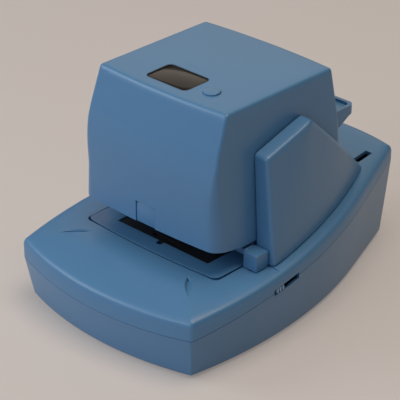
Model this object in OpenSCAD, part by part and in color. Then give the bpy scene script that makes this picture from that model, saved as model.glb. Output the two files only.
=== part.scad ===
// Electric flat-clinch stapler. A low boat-shaped base carries a steel C-frame;
// a tall head cover stands over the paper throat. A motor turns a heart-shaped
// cam pair that swings the drive lever and pushes the staple driver down.
// X is to the right, Y to the back, Z up. The origin is on the table, under the
// middle of the overall box.

/* [Base] */
// Greatest width of the base, at the parting line
base_w = 173; // [168:1:182]
// Depth of the base
base_d = 260; // [252:1:272]
// Radius of the base's curved sides in plan
side_r = 330; // [300:5:400]
// Radius of the base's front edge in plan
front_r = 240; // [200:5:300]
// Radius of the base's rear edge in plan
rear_r = 200; // [150:5:300]
// Radius of the base's four corners in plan
corner_r = 4; // [2:0.5:8]
// Height of the parting line at mid-depth
parting_h = 45.6; // [43:0.2:48]
// Rise of the parting line and of the deck per unit of depth
deck_slope = 0.12; // [0.1:0.005:0.13]
// Height of the deck above the parting line
deck_rise = 12; // [11:0.2:13]
// Height of the flat table
table_h = 52; // [50:0.5:54]
// Wall thickness of the two base cases
case_wall = 2.4; // [1.8:0.1:2.8]
// Floor thickness of the lower case
floor_t = 3; // [2:0.1:3.5]
// How far the lower case tapers in towards its bottom
base_taper = 5.5; // [3:0.5:7]

/* [Head] */
// Width of the head's top
head_w = 115.2; // [113:0.2:118]
// Height of the head's top edges
head_h = 163.6; // [161.5:0.1:168]
// Crown of the head's top
crown = 1.9; // [1:0.1:3]
// Distance from the origin to the head's lower front face
head_front = 75.3; // [74:0.1:78]
// Distance from the origin to the head's upper rear edge
head_rear = 38.5; // [37.5:0.1:42]
// Widening of the head per unit of height, on each side
head_draft = 0.05; // [0.03:0.005:0.06]
// Backward lean of the head's rear wall
rear_lean = 9.9; // [8:0.1:11]
// Backward lean of the head's upper front face
brow_lean = 18.5; // [14:0.5:19]
// Radius of the arc between the lower and upper front face
brow_r = 110; // [80:5:130]
// Bow of the head's front and rear faces in plan
face_bow = 2.9; // [2:0.1:4]
// Wall thickness of the head cover
cover_wall = 2.5; // [1.8:0.1:2.8]
// Height of the throat opening above the table
throat_h = 15.5; // [14:0.5:16.5]

/* [Top panel] */
// Width of the window
window_w = 37.4; // [30:0.2:42]
// Depth of the window
window_d = 24.6; // [18:0.2:28]
// Diameter of the push button
button_d = 11.4; // [9:0.2:13]
// Travel of the push button
button_travel = 1.5; // [0.8:0.1:2]

/* [Side covers] */
// Height of the apex of a side cover
wing_apex = 141.2; // [136:0.2:145]
// Height of the front corner of a side cover
wing_front = 129.4; // [124:0.2:133]
// Edge radius of a side cover
wing_r = 3; // [2:0.25:4]
// Wall thickness of a side cover
wing_wall = 2.4; // [1.8:0.1:3]

/* [Table] */
// Half width of the table plate
plate_half = 60.2; // [58:0.2:61]
// Thickness of the table plate
plate_t = 2.5; // [2:0.1:3]
// Gap of the groove round the table plate
groove = 0.8; // [0.3:0.05:1]
// Half width of the black clincher plate
clinch_half = 42.1; // [38:0.1:44]
// Thickness of the black clincher plate
clinch_t = 1.9; // [1.5:0.1:2.1]

/* [Frame] */
// Distance of the side plates' inner faces from the middle
plate_x = 49; // [48.5:0.1:50]
// Thickness of the side plates
plate_gauge = 2; // [1.5:0.1:2.5]
// Diameter of the lever shaft
lever_shaft_d = 8; // [7:0.5:8.5]
// Diameter of the cam shaft
cam_shaft_d = 8; // [7:0.5:9]
// Diameter of the idler shaft
idler_shaft_d = 5; // [4:0.5:5.5]
// Diameter of the guide rods
rod_d = 6; // [5:0.5:7]

/* [Drive] */
// Module of the gears
gear_module = 0.8; // [0.79:0.01:0.81]
// Teeth of the motor pinion
pinion_teeth = 12;
// Teeth of the idler's large wheel
idler_teeth = 48;
// Teeth of the idler's small wheel
small_teeth = 16;
// Teeth of the cam gear
cam_teeth = 48;
// Stroke of the staple driver
stroke = 24; // [22:0.5:24.5]
// Base radius of the cams
cam_base = 9.45; // [9.2:0.05:9.5]
// Rise of the cams over half a turn
cam_rise = 13; // [12:0.1:13.2]
// Diameter of the motor can
motor_d = 26; // [22:0.5:27]
// Length of the motor can
motor_len = 36; // [30:0.5:38]

/* [Cartridge] */
// Half width of the cartridge box
cart_half = 34; // [30:0.5:34.5]
// Height of the top of the cartridge box
cart_top = 109.5; // [106:0.5:109.8]
// Half width of the finger pull
pull_half = 55.5; // [50:0.5:57]
// Reach of the finger pull behind the head
pull_reach = 21; // [16:0.5:24]
// Height of the finger pull's rim
pull_top = 128; // [125:0.5:129]

/* [Paper stop] */
// Side length of the paper stop's knob
knob = 14; // [12:0.5:15]
// Travel of the paper stop
stop_travel = 8; // [5:0.5:9]

/* [Feet] */
// Height by which the rubber feet lift the case
foot_lift = 2; // [1.5:0.1:3]
// Diameter of the rubber feet
foot_d = 14; // [10:1:18]

/* [Hidden] */

// Colours
shell_blue = "#5d7f9f";
panel_black = "#17181a";
steel = "#a9adb1";
dark_steel = "#5a5e63";
brass = "#b89a55";
nylon = "#e4e1d6";
rubber = "#222222";

// Clearances
running = 0.05;      // radial, shaft in hole
gap = 0.3;           // between moving or seated neighbours
seam = 0.3;          // parting line between the two cases
thin = 0.02;         // thickness of a slice inside a hull
beyond = 1;          // how far a cutter runs past a face

// Derived places: base
half_w = base_w / 2;
half_d = base_d / 2;
belly_y = -50;                       // where the base is widest
tail_y = 66;                         // where the side arc turns into its tangent
deck_h = parting_h + deck_rise;      // deck height at mid-depth
floor_top = foot_lift + floor_t;
slope_angle = atan(deck_slope);
join_y = -47;                        // where the deck turns into the flat table
lip_h = 2;                           // height of the lip between the two cases

// Derived places: head
head_floor = table_h + throat_h;
brow_low = 106;                      // where the front face starts to lean back
brow_high = brow_low + brow_r * sin(brow_lean);
brow_depth = brow_r * (1 - cos(brow_lean));

// Derived places: table and frame
plate_low = table_h - plate_t;
plate_front = -77;
window_front = -63.1;                // front edge of the table plate's window
throat_y = -36;                      // front of the throat wall
spine_front = throat_y + 4;
spine_rear = 42;
driver_y = -58;
arm_low = head_floor + 4.5;          // underside of the frame's upper arm
frame_top = head_h - 13.6;           // top edge of the side plates
lever_y = 30;
lever_z = head_h - 45.6;
pin_z = lever_z - 14;
cam_y = -22;
cam_z = head_h - 27.6;
roller_r = 4;
follow = 0.55;                       // the rollers trail the cams by this much
roller_z = cam_z - cam_base - follow - roller_r;
lever_reach = lever_y - driver_y;
rest_angle = atan((lever_z - pin_z) / lever_reach);
cam_x = 39.5;
cam_w = 4;
arm_x = 36;
arm_t = 3;

// Derived places: gears
function pitch_r(teeth) = gear_module * teeth / 2;
idler_gap = pitch_r(cam_teeth) + pitch_r(small_teeth);
idler_z = cam_z - 4;
idler_y = cam_y + sqrt(idler_gap * idler_gap - pow(cam_z - idler_z, 2));
motor_gap = pitch_r(idler_teeth) + pitch_r(pinion_teeth);
motor_z = cam_z + 4;
motor_y = idler_y + sqrt(motor_gap * motor_gap - pow(motor_z - idler_z, 2));

// Derived places: wings, cartridge and the rest
wing_y = -38.5;
wing_apex_y = 5.7;
wing_tail_y = 88.7;
wing_arc_y = -59.3;
wing_arc_r = side_r + 20;
wing_x = half_w - 7.2;               // greatest half width of a side cover's foot
door_low = head_floor + 6.5;
door_half = 40;                      // half width of the cartridge door
tail_w = 6;                          // thickness of a side cover's tail
cart_low = head_floor + 8.5;
cart_front = -50;
knob_x = half_w - 26.5;
knob_y = wing_y - gap - knob;
slot_y = -46.5;
slot_len = 25.5;
button_x = 27.8;
button_y = -44.5;
window_x = -4;
window_y = -43;
board_z = head_h - 8.2;
vent_x = half_w - 49.5;

// ---------------------------------------------------------------- helpers

// Points of an arc round a centre, in n steps from angle a0 to a1
function arc(centre, r, a0, a1, n, first = 0) =
    [for (i = [first:n]) let (a = a0 + (a1 - a0) * i / n) centre + r * [cos(a), sin(a)]];

function angle(v) = atan2(v[1], v[0]);

// A closed ring from its right half, which runs from the front to the rear
function both_sides(right) = concat(right,
    [for (i = [len(right) - 1:-1:0]) if (right[i][0] > 0.001) [-right[i][0], right[i][1]]]);

// A ring lifted to a height, or to a plane that rises with the depth
function raised(ring, z, slope = 0) = [for (p = ring) [p[0], p[1], z + slope * p[1]]];

// A solid with walls between rings that are listed from the bottom up. Its two ends
// are closed by strips that run straight across from side to side.
module loft(rings) {
    n = len(rings[0]);
    m = n / 2;
    top = (len(rings) - 1) * n;
    walls = [for (k = [0:len(rings) - 2], i = [0:n - 1])
        let (a = k * n + i, b = k * n + (i + 1) % n)
        each [[a, a + n, b + n], [a, b + n, b]]];
    strips = concat([[0, 1, n - 1]],
        [for (i = [1:m - 2]) [i, i + 1, n - i - 1, n - i]],
        [[m - 1, m, m + 1]]);
    lid = [for (s = strips) [for (i = [len(s) - 1:-1:0]) top + s[i]]];
    polyhedron([for (ring = rings) each ring], concat(strips, walls, lid), convexity = 4);
}

// A cylinder along X from x0 to x1
module bar_x(x0, x1, r, y, z) {
    translate([x0, y, z]) rotate([0, 90, 0]) cylinder(h = x1 - x0, r = r, $fn = 48);
}

module block(x0, x1, y0, y1, z0, z1) {
    translate([x0, y0, z0]) cube([x1 - x0, y1 - y0, z1 - z0]);
}

// A flat rectangle with round corners, from its lowest to its highest corner
module round_rect(x0, y0, x1, y1, r) {
    translate([x0 + r, y0]) square([x1 - x0 - 2 * r, y1 - y0]);
    translate([x0, y0 + r]) square([x1 - x0, y1 - y0 - 2 * r]);
    for (x = [x0 + r, x1 - r], y = [y0 + r, y1 - r]) {
        translate([x, y]) circle(r, $fn = 32);
    }
}

// A block with all its edges rounded, by three crossed extrusions
module soft_block(size, r) {
    intersection() {
        linear_extrude(size[2]) round_rect(0, 0, size[0], size[1], r);
        translate([0, size[1], 0]) rotate([90, 0, 0])
            linear_extrude(size[1]) round_rect(0, 0, size[0], size[2], r);
        rotate([90, 0, 90]) linear_extrude(size[0]) round_rect(0, 0, size[1], size[2], r);
    }
}

// A profile drawn in Y and Z, extruded along X from x0 to x1
module side_profile(x0, x1) {
    translate([x0, 0, 0]) rotate([90, 0, 90]) linear_extrude(x1 - x0) children();
}

// A profile drawn in X and Z, extruded along Y from y0 to y1
module front_profile(y0, y1) {
    translate([0, y1, 0]) rotate([90, 0, 0]) linear_extrude(y1 - y0) children();
}

// ---------------------------------------------------------------- base outline

// The base in plan: a front arc, two long side arcs that end in tangents, a rear
// arc, and round corners. Every curve moves inwards by the inset.
side_centre = [half_w - side_r, belly_y];
front_centre = [0, front_r - half_d];
rear_centre = [0, half_d - rear_r];
tail_angle = asin((tail_y - belly_y) / side_r);
tail_normal = [cos(tail_angle), sin(tail_angle)];
tail_along = [-sin(tail_angle), cos(tail_angle)];

function round_at(inset) = max(corner_r - inset, 0.6);

// Centre of the round between the front arc and the side arc
function front_corner(inset) =
    let (r = round_at(inset), ra = side_r - inset - r, rb = front_r - inset - r,
         gap_v = front_centre - side_centre, d = norm(gap_v), u = gap_v / d,
         a = (ra * ra - rb * rb + d * d) / (2 * d), h = sqrt(ra * ra - a * a))
    side_centre + a * u + h * [u[1], -u[0]];

// Centre of the round between the side's tangent and the rear arc
function rear_corner(inset) =
    let (r = round_at(inset), rb = rear_r - inset - r,
         t = tail_normal * (side_centre - rear_centre) + side_r - inset - r)
    rear_centre + t * tail_normal + sqrt(rb * rb - t * t) * tail_along;

function front_half(inset) =
    let (c = front_corner(inset), a1 = angle(c - front_centre), a2 = angle(c - side_centre))
    concat(arc(front_centre, front_r - inset, -90, a1, 5), arc(c, round_at(inset), a1, a2, 4, 1));

function rear_half(inset) =
    let (c = rear_corner(inset), a = angle(c - rear_centre))
    concat(arc(c, round_at(inset), tail_angle, a, 4), arc(rear_centre, rear_r - inset, a, 90, 4, 1));

// Side arc between two angles, without its ends
function side_half(inset, a1, n) =
    let (a0 = angle(front_corner(inset) - side_centre))
    [for (i = [1:n - 1])
        side_centre + (side_r - inset) * [cos(a0 + (a1 - a0) * i / n), sin(a0 + (a1 - a0) * i / n)]];

function base_ring(inset) = both_sides(
    concat(front_half(inset), side_half(inset, tail_angle, 9),
           [side_centre + (side_r - inset) * tail_normal], rear_half(inset)));

// Height of the case's top at a depth, along one of its rings: the deck's slope at
// the rear, and in front of the throat an even fall to the ring's front height
function top_z(y, inset, rise, front_z) =
    let (z1 = rise + deck_slope * join_y)
    y > join_y ? rise + deck_slope * y
        : z1 + (front_z - z1) * (join_y - y) / (join_y + half_d - inset);

// The case's top: vertical walls, a soft rim, the sloping deck and the flat table.
// Each level is an inset, a drop below the deck and a drop below the table. With a
// wall it is the room inside, which starts with the rebate over the lower case's lip.
module case_top(wall = 0) {
    levels = wall > 0
        ? [[0, 4.5, 11.2], [3, 0.9, 7.2], [9, 0.1, 5.5], [22, 0, 2.2], [42, 0, 0.02]]
        : [[0, 4.5, 11.2], [1, 2.2, 9], [3.4, 0.8, 7.3], [9, 0.1, 5.5], [22, 0, 2.2],
           [32, 0, 0.5], [42, 0, 0.02]];
    start = wall > 0
        ? [[wall / 2, -20], [wall / 2, parting_h + lip_h + seam], [wall, parting_h + lip_h + seam]]
        : [[0, parting_h + seam]];
    loft(concat([for (l = start) raised(base_ring(l[0]), l[1], deck_slope)],
        [for (l = levels) [for (p = base_ring(l[0] + wall))
            [p[0], p[1], top_z(p[1], l[0] + wall, parting_h + deck_rise - l[1] - wall,
                               table_h - l[2] - wall)]]]));
}

// A leaf-shaped mark sunk into the front of the table: the bottom of a spindle, which
// is the part between an arc and its chord, turned round the chord
module leaf_mark() {
    r = (leaf_len * leaf_len / 4 + leaf_w * leaf_w / 4) / leaf_w;
    translate([half_w - 33.2, 37.5 - half_d, table_h + 0.6]) rotate([90, 0, -45]) rotate([0, 90, 0])
        rotate_extrude($fn = 48) intersection() {
            translate([leaf_w / 2 - r, 0]) circle(r, $fn = 180);
            translate([0, -leaf_len]) square([leaf_w, 2 * leaf_len]);
        }
}

leaf_len = 23;                       // length of the whole spindle
leaf_w = 5;                          // its diameter

boss_places = [for (p = [[half_w - 24.5, 42 - half_d], [half_w - 32.5, half_d - 64]], s = [1, -1])
    [s * p[0], p[1]]];

module upper_case() {
    color(shell_blue) difference() {
        case_top();
        difference() {
            case_top(case_wall);
            // ledge that carries the table plate
            block(-plate_half - 4, plate_half + 4, plate_front - 4, throat_y - gap,
                  plate_low - case_wall, table_h + beyond);
            for (p = boss_places) {
                translate([p[0], p[1], 10]) cylinder(h = 60, d = 8, $fn = 32);
            }
        }
        // flat seat in front of the side covers, for the paper stop
        block(-base_w, base_w, join_y - 3, wing_y + 0.5, table_h, table_h + 6);
        block(knob_x - gap, base_w, knob_y - stop_travel - gap, join_y, table_h, deck_h + beyond);
        // seat and hole of the table plate
        translate([0, 0, plate_low]) linear_extrude(plate_t + beyond) plate_outline(groove);
        block(-plate_x - 6.5, plate_x + 6.5, plate_front + 5, throat_y + 1,
              table_h - 12, table_h + beyond);
        // well for the steel frame
        block(-plate_x - 8, plate_x + 8, throat_y - gap, spine_rear + 4.3,
              table_h - 12, deck_h + 20);
        // guide slot of the paper stop
        block(knob_x + 5.7, knob_x + 8.3, knob_y + 3 - stop_travel - 2,
              knob_y + knob - 3 + 1.5, table_h - 12, table_h + beyond);
        // slot in the rear deck
        translate([vent_x - 1.8, half_d - 38, deck_h]) linear_extrude(40, center = true)
            round_rect(0, 0, 3.6, 20, 1.7);
        leaf_mark();
        mirror([1, 0, 0]) leaf_mark();
        switch_slot();
        for (p = boss_places) {
            translate([p[0], p[1], 20])
                cylinder(h = parting_h + deck_slope * p[1] - 12, d = 2.6, $fn = 24);
        }
    }
}

// Outline of the table plate: a bowed front edge and round front corners
module plate_outline(grow = 0) {
    bow_r = 600;
    intersection() {
        union() {
            round_rect(-plate_half - grow, plate_front - grow,
                       plate_half + grow, throat_y - gap - 8, 5);
            translate([-plate_half - grow, throat_y - 20])
                square([2 * (plate_half + grow), 20 - gap]);
        }
        translate([0, bow_r + plate_front - grow]) circle(bow_r, $fn = 200);
    }
}

module table_plate() {
    color(shell_blue) translate([0, 0, plate_low]) linear_extrude(plate_t)
        difference() {
            plate_outline();
            translate([-clinch_half - gap, window_front])
                square([2 * (clinch_half + gap), throat_y - 3 - window_front]);
            // centre mark at the front of the black plate
            translate([0, window_front - 1.9]) circle(2.3, $fn = 32);
            translate([-2.3, window_front - 1.9]) square([4.6, 3]);
        }
}

module clincher_plate() {
    color(panel_black) translate([0, 0, plate_low]) linear_extrude(clinch_t)
        difference() {
            translate([-clinch_half, window_front + gap])
                square([2 * clinch_half, throat_y - 3 - window_front - 2 * gap]);
            translate([-12.5, driver_y - 1.6]) square([25, 3.2]);
            translate([-2.6, -49]) square([5.2, 9.5]);
        }
}

// ---------------------------------------------------------------- lower case

module switch_slot() {
    translate([0, 0, parting_h + deck_slope * slot_y]) translate([0, slot_y, 0])
        rotate([slope_angle, 0, 0]) translate([half_w - 12, 0, -2.4])
            cube([20, slot_len, 4.8]);
}

module inlet_opening() {
    translate([-14.3, half_d - 16, 13.7]) cube([28.6, 30, 20.6]);
}

module lower_case() {
    lip = case_wall / 2 + 0.15;
    color(shell_blue) difference() {
        union() {
            difference() {
                union() {
                    loft([
                        raised(base_ring(base_taper + 1.6), foot_lift),
                        raised(base_ring(base_taper - 0.1), foot_lift + 1.6),
                        raised(base_ring(0), parting_h, deck_slope)
                    ]);
                    // lip that locates the upper case
                    loft([for (z = [parting_h - 2, parting_h + lip_h])
                        raised(base_ring(lip), z, deck_slope)]);
                }
                loft([
                    raised(base_ring(base_taper + case_wall), floor_top),
                    raised(base_ring(case_wall + 0.1), parting_h - 3, deck_slope),
                    raised(base_ring(case_wall + 0.1), parting_h + 5, deck_slope)
                ]);
            }
            for (p = boss_places) {
                translate([p[0], p[1], foot_lift + 1])
                    cylinder(h = parting_h + deck_slope * p[1] - foot_lift - 1.5, d = 8, $fn = 32);
            }
            // rib behind the inlet, post under the switch, posts of the circuit board
            block(-17, 17, half_d - 25, half_d - 22.3, foot_lift + 1, 34);
            block(71, 79, -45, -38, foot_lift + 1, 34.5);
            for (y = [half_d - 68, half_d - 32], x = [10, 38]) {
                translate([x, y, foot_lift + 1]) cylinder(h = floor_t + 2, d = 6, $fn = 24);
            }
        }
        switch_slot();
        inlet_opening();
        for (p = boss_places) {
            translate([p[0], p[1], 0]) cylinder(h = 60, d = 3.4, $fn = 24);
            translate([p[0], p[1], 0]) cylinder(h = foot_lift + 6, d = 7, $fn = 32);
        }
        for (p = foot_places) {
            translate([p[0], p[1], 0]) cylinder(h = foot_lift + 1, d = foot_d + 0.4, $fn = 48);
        }
        // cooling slots under the transformer
        for (i = [0:5]) {
            block(-40, -14, half_d - 68 + 6 * i, half_d - 65 + 6 * i, 0, floor_top + beyond);
        }
    }
}

foot_places = [for (p = [[half_w - 28.5, 30 - half_d], [half_w - 50.5, half_d - 32]], s = [1, -1])
    [s * p[0], p[1]]];

module rubber_feet() {
    color(rubber) for (p = foot_places) {
        translate([p[0], p[1], 0]) cylinder(h = foot_lift + 1, d = foot_d, $fn = 48);
    }
}

module case_screws() {
    color(steel) for (p = boss_places) {
        translate([p[0], p[1], foot_lift + 3.4]) {
            difference() {
                cylinder(h = 2.6, d = 6, $fn = 32);
                translate([0, 0, -0.1]) cylinder(h = 1.6, d = 2.6, $fn = 6);
            }
            cylinder(h = parting_h + deck_slope * p[1] - foot_lift + 3, d = 2.5, $fn = 24);
        }
    }
}

// ---------------------------------------------------------------- head cover

function side_at(z) = head_w / 2 + (head_h - z) * head_draft;
function rear_at(z) = head_rear + (head_h - z) * tan(rear_lean);
function front_at(z) = -head_front + (z < brow_low ? 0
    : z < brow_high ? brow_r - sqrt(brow_r * brow_r - pow(z - brow_low, 2))
    : brow_depth + (z - brow_high) * tan(brow_lean));
function corner_at(z) = max(2.5, min(9, 9 - (z - 95) * 0.2));
// The rear corners open out below, where the side covers wrap round them
function rear_corner_at(z) = max(corner_at(z), min(22, 9 + (100 - z) * 0.4));

// Plan of the head at a height: bowed front and rear, straight sides, round corners
function head_ring(z, inset) =
    let (x = side_at(z), bow_r = (x * x + face_bow * face_bow) / (2 * face_bow),
         in_r = bow_r - inset,
         r = max(corner_at(z) - inset, 0.6), cx = x - inset - r,
         reach = sqrt(pow(in_r - r, 2) - cx * cx), lean = asin(cx / (in_r - r)),
         rr = max(rear_corner_at(z) - inset, 0.6), rx = x - inset - rr,
         rear_reach = sqrt(pow(in_r - rr, 2) - rx * rx), rear_turn = asin(rx / (in_r - rr)),
         front_y = front_at(z) - face_bow + bow_r, rear_y = rear_at(z) + face_bow - bow_r)
    both_sides(concat(
        arc([0, front_y], in_r, -90, lean - 90, 4),
        arc([cx, front_y - reach], r, lean - 90, 0, 5, 1),
        arc([rx, rear_y + rear_reach], rr, 0, 90 - rear_turn, 6),
        arc([0, rear_y], in_r, 90 - rear_turn, 90, 4, 1)));

module head_form(low) {
    body = [for (z = [low, 64, 70, 76, 88, 100, brow_low, 118, 130, brow_high, head_h - 2.6])
        raised(head_ring(z, 0), z)];
    roof = [for (l = [[0.5, -1.4], [1.4, -0.4], [3, 0.3], [8, 0.8], [20, 1.3], [35, 1.7], [45, 1.9]])
        raised(head_ring(head_h + min(l[1], 0), l[0]),
               head_h + (l[1] > 0 ? l[1] * crown / 1.9 : l[1]))];
    loft(concat(body, roof));
}

module head_inside(low) {
    loft([for (z = [low, 64, 76, 88, 100, brow_low, 124, brow_high, head_h - cover_wall])
        raised(head_ring(z, cover_wall), z)]);
}

// The sloping deck as a cutter: all below it goes
module below_deck(lift = 0) {
    translate([0, 0, deck_h + lift]) rotate([slope_angle, 0, 0])
        translate([-base_w, -base_d, -80]) cube([2 * base_w, 2 * base_d, 80]);
}

module door_frame(grow = 0) {
    translate([0, rear_at(pull_top), pull_top]) rotate([rear_lean, 0, 0])
        translate([-door_half - grow, -8, door_low - pull_top - grow])
            cube([2 * (door_half + grow), 22, pull_top - door_low + 2 * grow]);
}

module head_cover() {
    color(shell_blue) difference() {
        union() {
            difference() {
                head_form(50);
                head_inside(40);
            }
            // lugs that hold the pin of the jam flap
            for (x = [-flap_w / 2 - 2.4, flap_w / 2 + 0.4]) {
                block(x, x + 2, flap_in + 1.5, flap_in + 6, flap_top - 6, flap_top + 1);
            }
        }
        below_deck(gap);
        // the throat runs in under the front of the head
        block(-base_w, base_w, -base_d, throat_y, 0, head_floor);
        window_hole(0);
        translate([button_x, button_y, board_z]) cylinder(h = 30, d = button_d + 2 * gap, $fn = 48);
        flap_hole();
        bar_x(-flap_w / 2 - 3, flap_w / 2 + 3, 1, flap_in + 2, flap_top - 2.2);
        door_frame(gap);
        // leaf-shaped finger dimple near the rear edge
        translate([-3.5, 31, head_h + 0.4]) linear_extrude(4) intersection() {
            translate([0, 8.5]) circle(10.5, $fn = 90);
            translate([0, -8.5]) circle(10.5, $fn = 90);
        }
    }
}

module window_hole(grow) {
    translate([window_x - window_w / 2 - grow, window_y - window_d / 2 - grow, head_h - 8])
        linear_extrude(16)
            round_rect(0, 0, window_w + 2 * grow, window_d + 2 * grow, 4.2 + grow);
}

window_z = head_h - 0.2;             // top of the window's glass

module window_frame() {
    flange_top = head_h - cover_wall - 0.05;
    color(panel_black) difference() {
        union() {
            intersection() {
                window_hole(-0.1);
                block(-60, 60, -80, 0, flange_top - 1, window_z + 0.5);
            }
            // flange that sits behind the cover
            intersection() {
                window_hole(2);
                block(-60, 60, -80, 0, flange_top - 1.4, flange_top);
            }
        }
        window_hole(-1.3);
    }
}

module window_lens() {
    color([0.1, 0.1, 0.1, 0.6]) intersection() {
        window_hole(-1.4);
        block(-60, 60, -80, 0, window_z - 1.8, window_z - 0.1);
    }
}

module display_board() {
    color("#2f5d46") {
        block(-26, 34, -57, -32, board_z, board_z + 1.6);
    }
    color("#26282b") {
        block(window_x - 14, window_x + 14, window_y - 9, window_y + 9,
              board_z + 1.6, window_z - 2.2);
        translate([button_x, button_y, board_z + 1.6]) cylinder(h = 2, r = 2, $fn = 32);
    }
}

module top_button() {
    top = head_h + 1.3;
    stem = board_z + 3.6 + button_travel + 0.1;
    color(shell_blue) translate([button_x, button_y, 0]) rotate_extrude($fn = 64)
        polygon([
            [0, stem], [2.5, stem], [2.5, stem + 1], [button_d / 2, stem + 1],
            [button_d / 2, top - 0.6], [button_d / 2 - 0.2, top - 0.2],
            [button_d / 2 - 0.6, top], [0, top + 0.2]
        ]);
}

// ---------------------------------------------------------------- jam flap

flap_w = 17.4;
flap_top = head_floor + 17.8;
flap_in = front_at(head_floor) - face_bow + 0.6;   // its outer face, set back a little

module flap_hole() {
    block(-flap_w / 2 - 0.2, flap_w / 2 + 0.2, -head_front - face_bow - 2,
          -head_front - face_bow + cover_wall + 1.5, head_floor - 1, flap_top + 0.4);
}

module jam_flap() {
    color(shell_blue) difference() {
        union() {
            block(-flap_w / 2, flap_w / 2, flap_in, flap_in + 2, head_floor + 0.4, flap_top - 2.2);
            bar_x(-flap_w / 2, flap_w / 2, 2, flap_in + 2, flap_top - 2.2);
        }
        bar_x(-flap_w / 2 - 1, flap_w / 2 + 1, 1 + running, flap_in + 2, flap_top - 2.2);
    }
}

module flap_pin() {
    color(steel) bar_x(-flap_w / 2 - 2.4, flap_w / 2 + 2.4, 1, flap_in + 2, flap_top - 2.2);
}

// ---------------------------------------------------------------- side covers

function wing_arc(y) = wing_x - (wing_arc_r - sqrt(wing_arc_r * wing_arc_r - pow(y - wing_arc_y, 2)));
function deck_at(y) = deck_h + deck_slope * y;
// Height of the slanting rear edge of a side cover
function wing_edge(y) = wing_apex
    - (y - wing_apex_y) * (wing_apex - deck_at(wing_tail_y)) / (wing_tail_y - wing_apex_y);

// One side cover before the head's form is taken out: a drafted outer face, a flat
// front, a slanting rear edge and rounded outer edges
module wing_block() {
    r = wing_r;
    side = wing_x - 8.6;
    hull() {
        multmatrix([[1, 0, 0, 0], [0, 1, 0, 0], [0, deck_slope, 1, deck_h + gap], [0, 0, 0, 1]])
            linear_extrude(0.1) polygon(concat(
                [[side - 24, wing_y]],
                [for (i = [0:8]) let (y = wing_y + 0.4 + (wing_tail_y - 0.4 - wing_y) * i / 8)
                    [wing_arc(y), y]],
                [[wing_arc(wing_tail_y) - tail_w, wing_tail_y]]));
        // outer edge along the top
        translate([side + 0.7 - r, wing_y + r, wing_front - r]) sphere(r, $fn = 16);
        translate([side - 1 - r, wing_apex_y, wing_apex - r]) sphere(r, $fn = 16);
        for (y = [26, 46, 68]) {
            translate([wing_arc(y) - 0.045 * (wing_edge(y) - deck_at(y)) - r, y - r * 0.6,
                       wing_edge(y) - r * 1.15])
                sphere(r, $fn = 16);
        }
        // inner edge along the top, inside the head's side
        for (p = [[wing_y, wing_front], [wing_apex_y, wing_apex], [44, wing_edge(44)]]) {
            translate([side - 24, p[0], p[1] - 0.5]) cube([0.3, 0.3, 0.5]);
        }
        translate([wing_arc(wing_tail_y) - tail_w, wing_tail_y - 0.3, deck_at(wing_tail_y) + gap])
            cube([0.3, 0.3, 0.4]);
    }
}

// Room inside a side cover, open towards the head
module wing_room() {
    w = wing_wall;
    side = wing_x - 8.6;
    hull() {
        multmatrix([[1, 0, 0, 0], [0, 1, 0, 0], [0, deck_slope, 1, deck_h - 4], [0, 0, 0, 1]])
            linear_extrude(0.1) polygon(concat(
                [[side - 24, wing_y + w]],
                [for (i = [0:6]) let (y = wing_y + w + (wing_tail_y - 18 - wing_y - w) * i / 6)
                    [wing_arc(y) - w - 0.4, y]],
                [[side - 24, wing_tail_y - 18]]));
        for (p = [[wing_y + w, wing_front - w - 1], [wing_apex_y - 1, wing_apex - w - 1.5]]) {
            translate([side - 24, p[0], p[1] - 1]) cube([22.5 - w, 0.5, 1]);
        }
    }
}

module wing() {
    difference() {
        wing_block();
        wing_room();
        loft([for (z = [40, 64, 70, 76, 88, 100, brow_low, 150])
            raised(head_ring(z, -gap), z)]);
    }
}

module right_wing() {
    color(shell_blue) wing();
}

module left_wing() {
    color(shell_blue) mirror([1, 0, 0]) wing();
}

// ---------------------------------------------------------------- steel frame

module c_frame_profile() {
    difference() {
        polygon([
            [-70, floor_top], [spine_rear, floor_top], [spine_rear, lever_z],
            [spine_rear - 6, frame_top], [-50, frame_top], [-66, frame_top - 28],
            [-66, arm_low], [spine_front, arm_low],
            [spine_front, plate_low - 2], [throat_y - gap, plate_low - 2],
            [throat_y - gap, plate_low], [-70, plate_low]
        ]);
        // lightening holes
        translate([2, 28]) circle(11, $fn = 48);
        translate([4, 88]) circle(13, $fn = 48);
        translate([-44, 28]) circle(9, $fn = 48);
    }
}

module side_plate() {
    difference() {
        side_profile(plate_x, plate_x + plate_gauge) c_frame_profile();
        bar_x(plate_x - 1, plate_x + 4, lever_shaft_d / 2, lever_y, lever_z);
        bar_x(plate_x - 1, plate_x + 4, cam_shaft_d / 2 + 2, cam_y, cam_z);
        bar_x(plate_x - 1, plate_x + 4, idler_shaft_d / 2, idler_y, idler_z);
        for (p = tie_spots) {
            bar_x(plate_x - 1, plate_x + 4, 2.5, p[0], p[1]);
        }
    }
}

module right_side_plate() {
    color(steel) side_plate();
}

module left_side_plate() {
    color(steel) mirror([1, 0, 0]) side_plate();
}

tie_spots = [[-30, 14], [36, 14], [34, 60]];

module tie_bars() {
    color(dark_steel) for (p = tie_spots) {
        bar_x(-plate_x, plate_x, 4, p[0], p[1]);
        bar_x(-plate_x - plate_gauge - 1, plate_x + plate_gauge + 1, 2.5, p[0], p[1]);
    }
}

bridge_z = cam_z + 1;

module top_bridge() {
    color(steel) difference() {
        union() {
            block(-plate_x, plate_x, driver_y - 5.5, driver_y + 5.5, bridge_z, bridge_z + 3);
            // posts under the display board
            for (x = [-22, 30]) {
                translate([x, driver_y + 3, bridge_z]) cylinder(h = board_z - bridge_z, r = 2.5, $fn = 32);
            }
        }
        for (s = [-1, 1]) {
            translate([s * 24, driver_y, bridge_z - 1]) cylinder(h = 2.5, d = rod_d, $fn = 48);
        }
    }
}

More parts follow.
